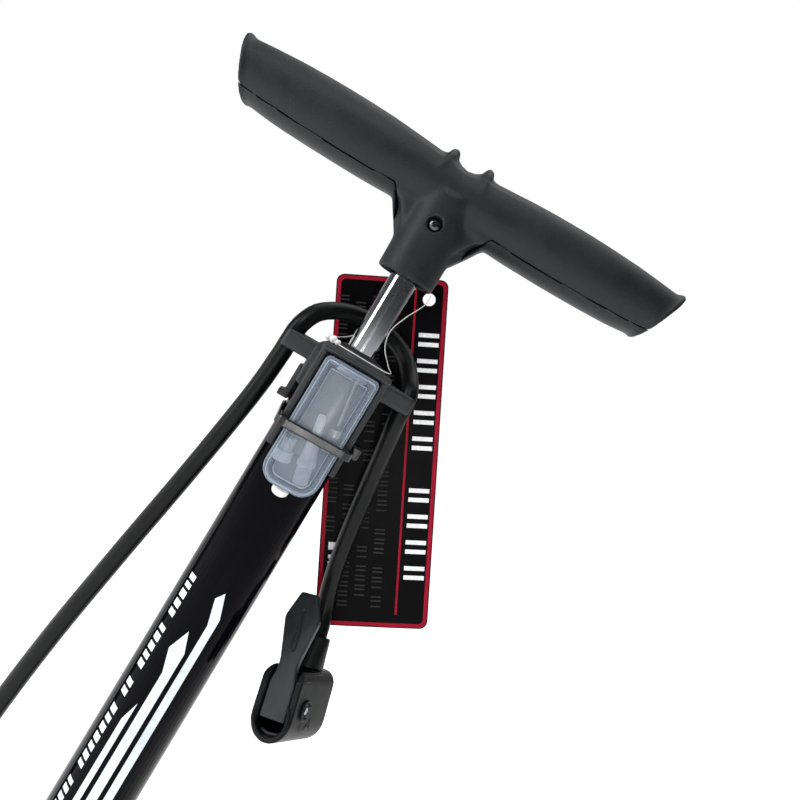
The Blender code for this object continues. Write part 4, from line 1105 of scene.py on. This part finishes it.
def add_loop():
    route = (
        (15.6, 41.2, 579.0), (16.0, 38.5, 576.5), (15.0, 34.0, 571.0), (10.0, 24.0, 560.0),
        (7.0, 18.2, 550.0), (9.0, 16.4, 541.0), (15.5, 10.5, 533.6), (18.6, 0.0, 531.4),
        (14.0, -12.5, 531.2), (3.0, -17.6, 531.4),
        (-8.0, -16.4, 531.4), (-16.0, -9.0, 531.2), (-18.4, 0.0, 531.4), (-15.0, 10.0, 533.0),
        (-9.0, 15.8, 537.5), (-4.0, 17.3, 546.0), (0.0, 18.6, 556.0), (4.5, 27.0, 571.0),
        (8.6, 35.6, 585.5), (9.6, 38.5, 589.4), (10.8, 41.0, 586.5), (13.6, 41.6, 581.5),
    )
    points = smooth_path([Vector(point) * MM for point in route], THREAD_SPACING * MM)
    place(
        tube("tag_loop_thread", points, THREAD_RADIUS * MM, 4), "pump_frame", NYLON,
        ("tag_loop",), "clear_nylon",
    )
    bm = bmesh.new()
    for x, y, z, radius in (
        (-13.6, -12.0, 532.2, 2.0), (-10.6, -14.6, 532.0, 1.5), (-16.6, -8.2, 532.0, 1.7),
    ):
        profile = [(0.0, radius)]
        for step in range(1, 8):
            angle = math.pi * step / 8
            swell = 1.0 + 0.10 * math.cos(3 * angle)
            profile.append((radius * math.sin(angle) * swell, radius * math.cos(angle)))
        profile.append((0.0, -radius))
        spot = Matrix.Translation(Vector((x, y, z)) * MM) @ Matrix.Rotation(0.7, 4, "Y")
        lathe_rings(bm, profile, 16, spot)
    place(from_bmesh("tag_loop_beads", bm), "pump_frame", NYLON, slot="clear_nylon")


add_loop()


# Ribbed treads and crimped hose ferrule

TREAD_X = 92.0
RIB_COUNT = 9
RIB_PITCH = 5.5
FERRULE_X = -46.0


def add_treads():
    for name, side in (("tread_pad_left", -1), ("tread_pad_right", 1)):
        middle = side * TREAD_X
        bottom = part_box(name)[0].z / MM
        bm = bmesh.new()
        base = rounded_rectangle(32.0, 56.0, 8.0, 8)
        inset = rounded_rectangle(31.0, 55.0, 7.5, 8)
        skin_rings(bm, [
            [Vector((middle + x, y, bottom)) * MM for x, y in base],
            [Vector((middle + x, y, bottom + 1.0)) * MM for x, y in base],
            [Vector((middle + x, y, bottom + 1.3)) * MM for x, y in inset],
        ])
        for row in range(RIB_COUNT):
            y = -22.0 + RIB_PITCH * row
            reach = 12.6 if abs(y) < 19.0 else 9.0
            rib = rounded_rectangle(2 * reach, 2.8, 1.3, 4, (middle, y))
            top_rib = rounded_rectangle(2 * reach - 0.9, 1.9, 0.9, 4, (middle, y))
            skin_rings(bm, [
                [Vector((x, v, bottom + 1.2)) * MM for x, v in rib],
                [Vector((x, v, bottom + 1.9)) * MM for x, v in rib],
                [Vector((x, v, bottom + 2.2)) * MM for x, v in top_rib],
            ])
        place(from_bmesh(name + "_ribbed", bm, 35.0), "pump_frame", RUBBER, (name,), "black_rubber")


def add_ferrule():
    """Zinc sleeve with four crimped grooves, turned round the hose end."""
    profile = [(5.15, 33.0), (6.6, 33.0), (7.1, 33.6)]
    for row in range(4):
        z = 36.0 + 4.0 * row
        profile += [
            (7.2, z - 1.3), (7.1, z - 0.9), (6.65, z - 0.3), (6.65, z + 0.3), (7.1, z + 0.9),
            (7.2, z + 1.3),
        ]
    profile += [(7.2, 50.4), (6.9, 51.7), (6.5, 52.0), (5.15, 52.0), (5.15, 33.0)]
    bm = bmesh.new()
    lathe_rings(bm, profile, 48, Matrix.Translation((FERRULE_X * MM, 0.0, 0.0)))
    bmesh.ops.remove_doubles(bm, verts=bm.verts, dist=FERRULE_WELD)
    ferrule = from_bmesh("hose_crimp", bm, 30.0)
    place(ferrule, "pump_frame", ZINC, ("hose_ferrule",), "zinc_plate")


add_treads()
add_ferrule()


# Frame nodes that keep their own shape

KEPT = {
    "barrel_tube": PAINT, "piston_rod": STEEL, "handle_screw": SCREW, "rod_wiper": RUBBER,
    "rod_bush": CHARCOAL, "rod_bumper": RUBBER, "rod_stud": ZINC, "piston_nut": ZINC,
    "piston_washer": ZINC, "piston_carrier": CHARCOAL, "piston_seal": RUBBER, "valve_seat": CAP,
    "valve_seat_oring": RUBBER, "check_ball": STEEL, "check_spring": ZINC, "outlet_elbow": ZINC,
    "outlet_nut": ZINC, "chuck_pin": STEEL, "schrader_gasket": RUBBER, "presta_gasket": RUBBER,
    "schrader_cap": TIE, "presta_cap": TIE, "foot_pad_1": RUBBER, "foot_pad_2": RUBBER,
    "foot_pad_3": RUBBER, "foot_pad_4": RUBBER,
}
for node_name, look in KEPT.items():
    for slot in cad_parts[node_name].material_slots:
        slot.material = look


# Stage and light

FLOOR_STEPS = 64
FLOOR_Z = -0.0003
BACKDROP_GLOW = (0.05, 0.55)
BACKDROP_FROM = (0.10, 1.00)
DIFFUSE_GLOW = 1.18


def add_floor():
    """Pale paper in widening rings, so wide that its edge is never seen."""
    bm = bmesh.new()
    rings = []
    for radius in (0.4, 1.0, 2.5, 6.0, 15.0, 40.0):
        angles = [2 * math.pi * step / FLOOR_STEPS for step in range(FLOOR_STEPS)]
        rings.append([
            Vector((radius * math.cos(angle), radius * math.sin(angle), FLOOR_Z))
            for angle in angles
        ])
    skin_rings(bm, rings, cap_last=False)
    floor = from_bmesh("floor", bm)
    paper = surface(
        "floor_paper", (0.93, 0.93, 0.93), (0.96, 0.96, 0.96), rough=0.8, spread=0.03, patch=3.0,
    )
    floor.data.materials.append(paper)


def add_light(name, where, target, size, power):
    data = bpy.data.lights.new(name, "AREA")
    data.shape = "RECTANGLE"
    data.size = size[0]
    data.size_y = size[1]
    data.energy = power
    lamp = add_object(name, data)
    aim = Vector(target) - Vector(where)
    turn = aim.to_track_quat("-Z", "Y").to_matrix().to_4x4()
    lamp.matrix_world = Matrix.Translation(where) @ turn


def add_world():
    """White to the eye, a soft even fill on matt surfaces, and a dark to pale ramp in gloss."""
    world = bpy.data.worlds.new("studio")
    world.use_nodes = True
    bpy.context.scene.world = world
    world.cycles.sampling_method = "NONE"
    tree = world.node_tree
    link = tree.links.new
    back = tree.nodes["Background"]
    where = add_node(tree, "TexCoord")
    split = add_node(tree, "SeparateXYZ")
    link(where.outputs["Generated"], split.inputs["Vector"])
    ramp = add_node(
        tree, "MapRange", From_Min=BACKDROP_FROM[0], From_Max=BACKDROP_FROM[1],
        To_Min=BACKDROP_GLOW[0], To_Max=BACKDROP_GLOW[1],
    )
    link(split.outputs["Y"], ramp.inputs["Value"])
    rays = add_node(tree, "LightPath")
    plain = add_node(tree, "Math")
    plain.operation = "MULTIPLY_ADD"
    plain.inputs[1].default_value = DIFFUSE_GLOW
    link(rays.outputs["Is Diffuse Ray"], plain.inputs[0])
    link(rays.outputs["Is Camera Ray"], plain.inputs[2])
    seen = add_node(tree, "Math")
    seen.operation = "MAXIMUM"
    link(plain.outputs["Value"], seen.inputs[0])
    link(ramp.outputs["Result"], seen.inputs[1])
    link(seen.outputs["Value"], back.inputs["Strength"])
    back.inputs["Color"].default_value = (1.0, 1.0, 1.0, 1.0)


add_floor()
add_world()
bpy.context.scene.view_settings.view_transform = "Standard"
add_light("key", (-1.05, -0.50, 0.85), (0.0, 0.0, 0.55), (0.30, 1.2), 9.0)
add_light("edge", (-0.35, -0.95, 1.75), (0.0, 0.0, 0.5), (0.6, 0.5), 6.0)
add_light("glint", (0.20, -1.20, 0.30), (0.0, -0.03, 0.5), (0.06, 0.30), 1.1)
add_light("top", (0.0, 0.3, 2.1), (0.0, 0.0, 0.3), (1.6, 1.6), 14.0)
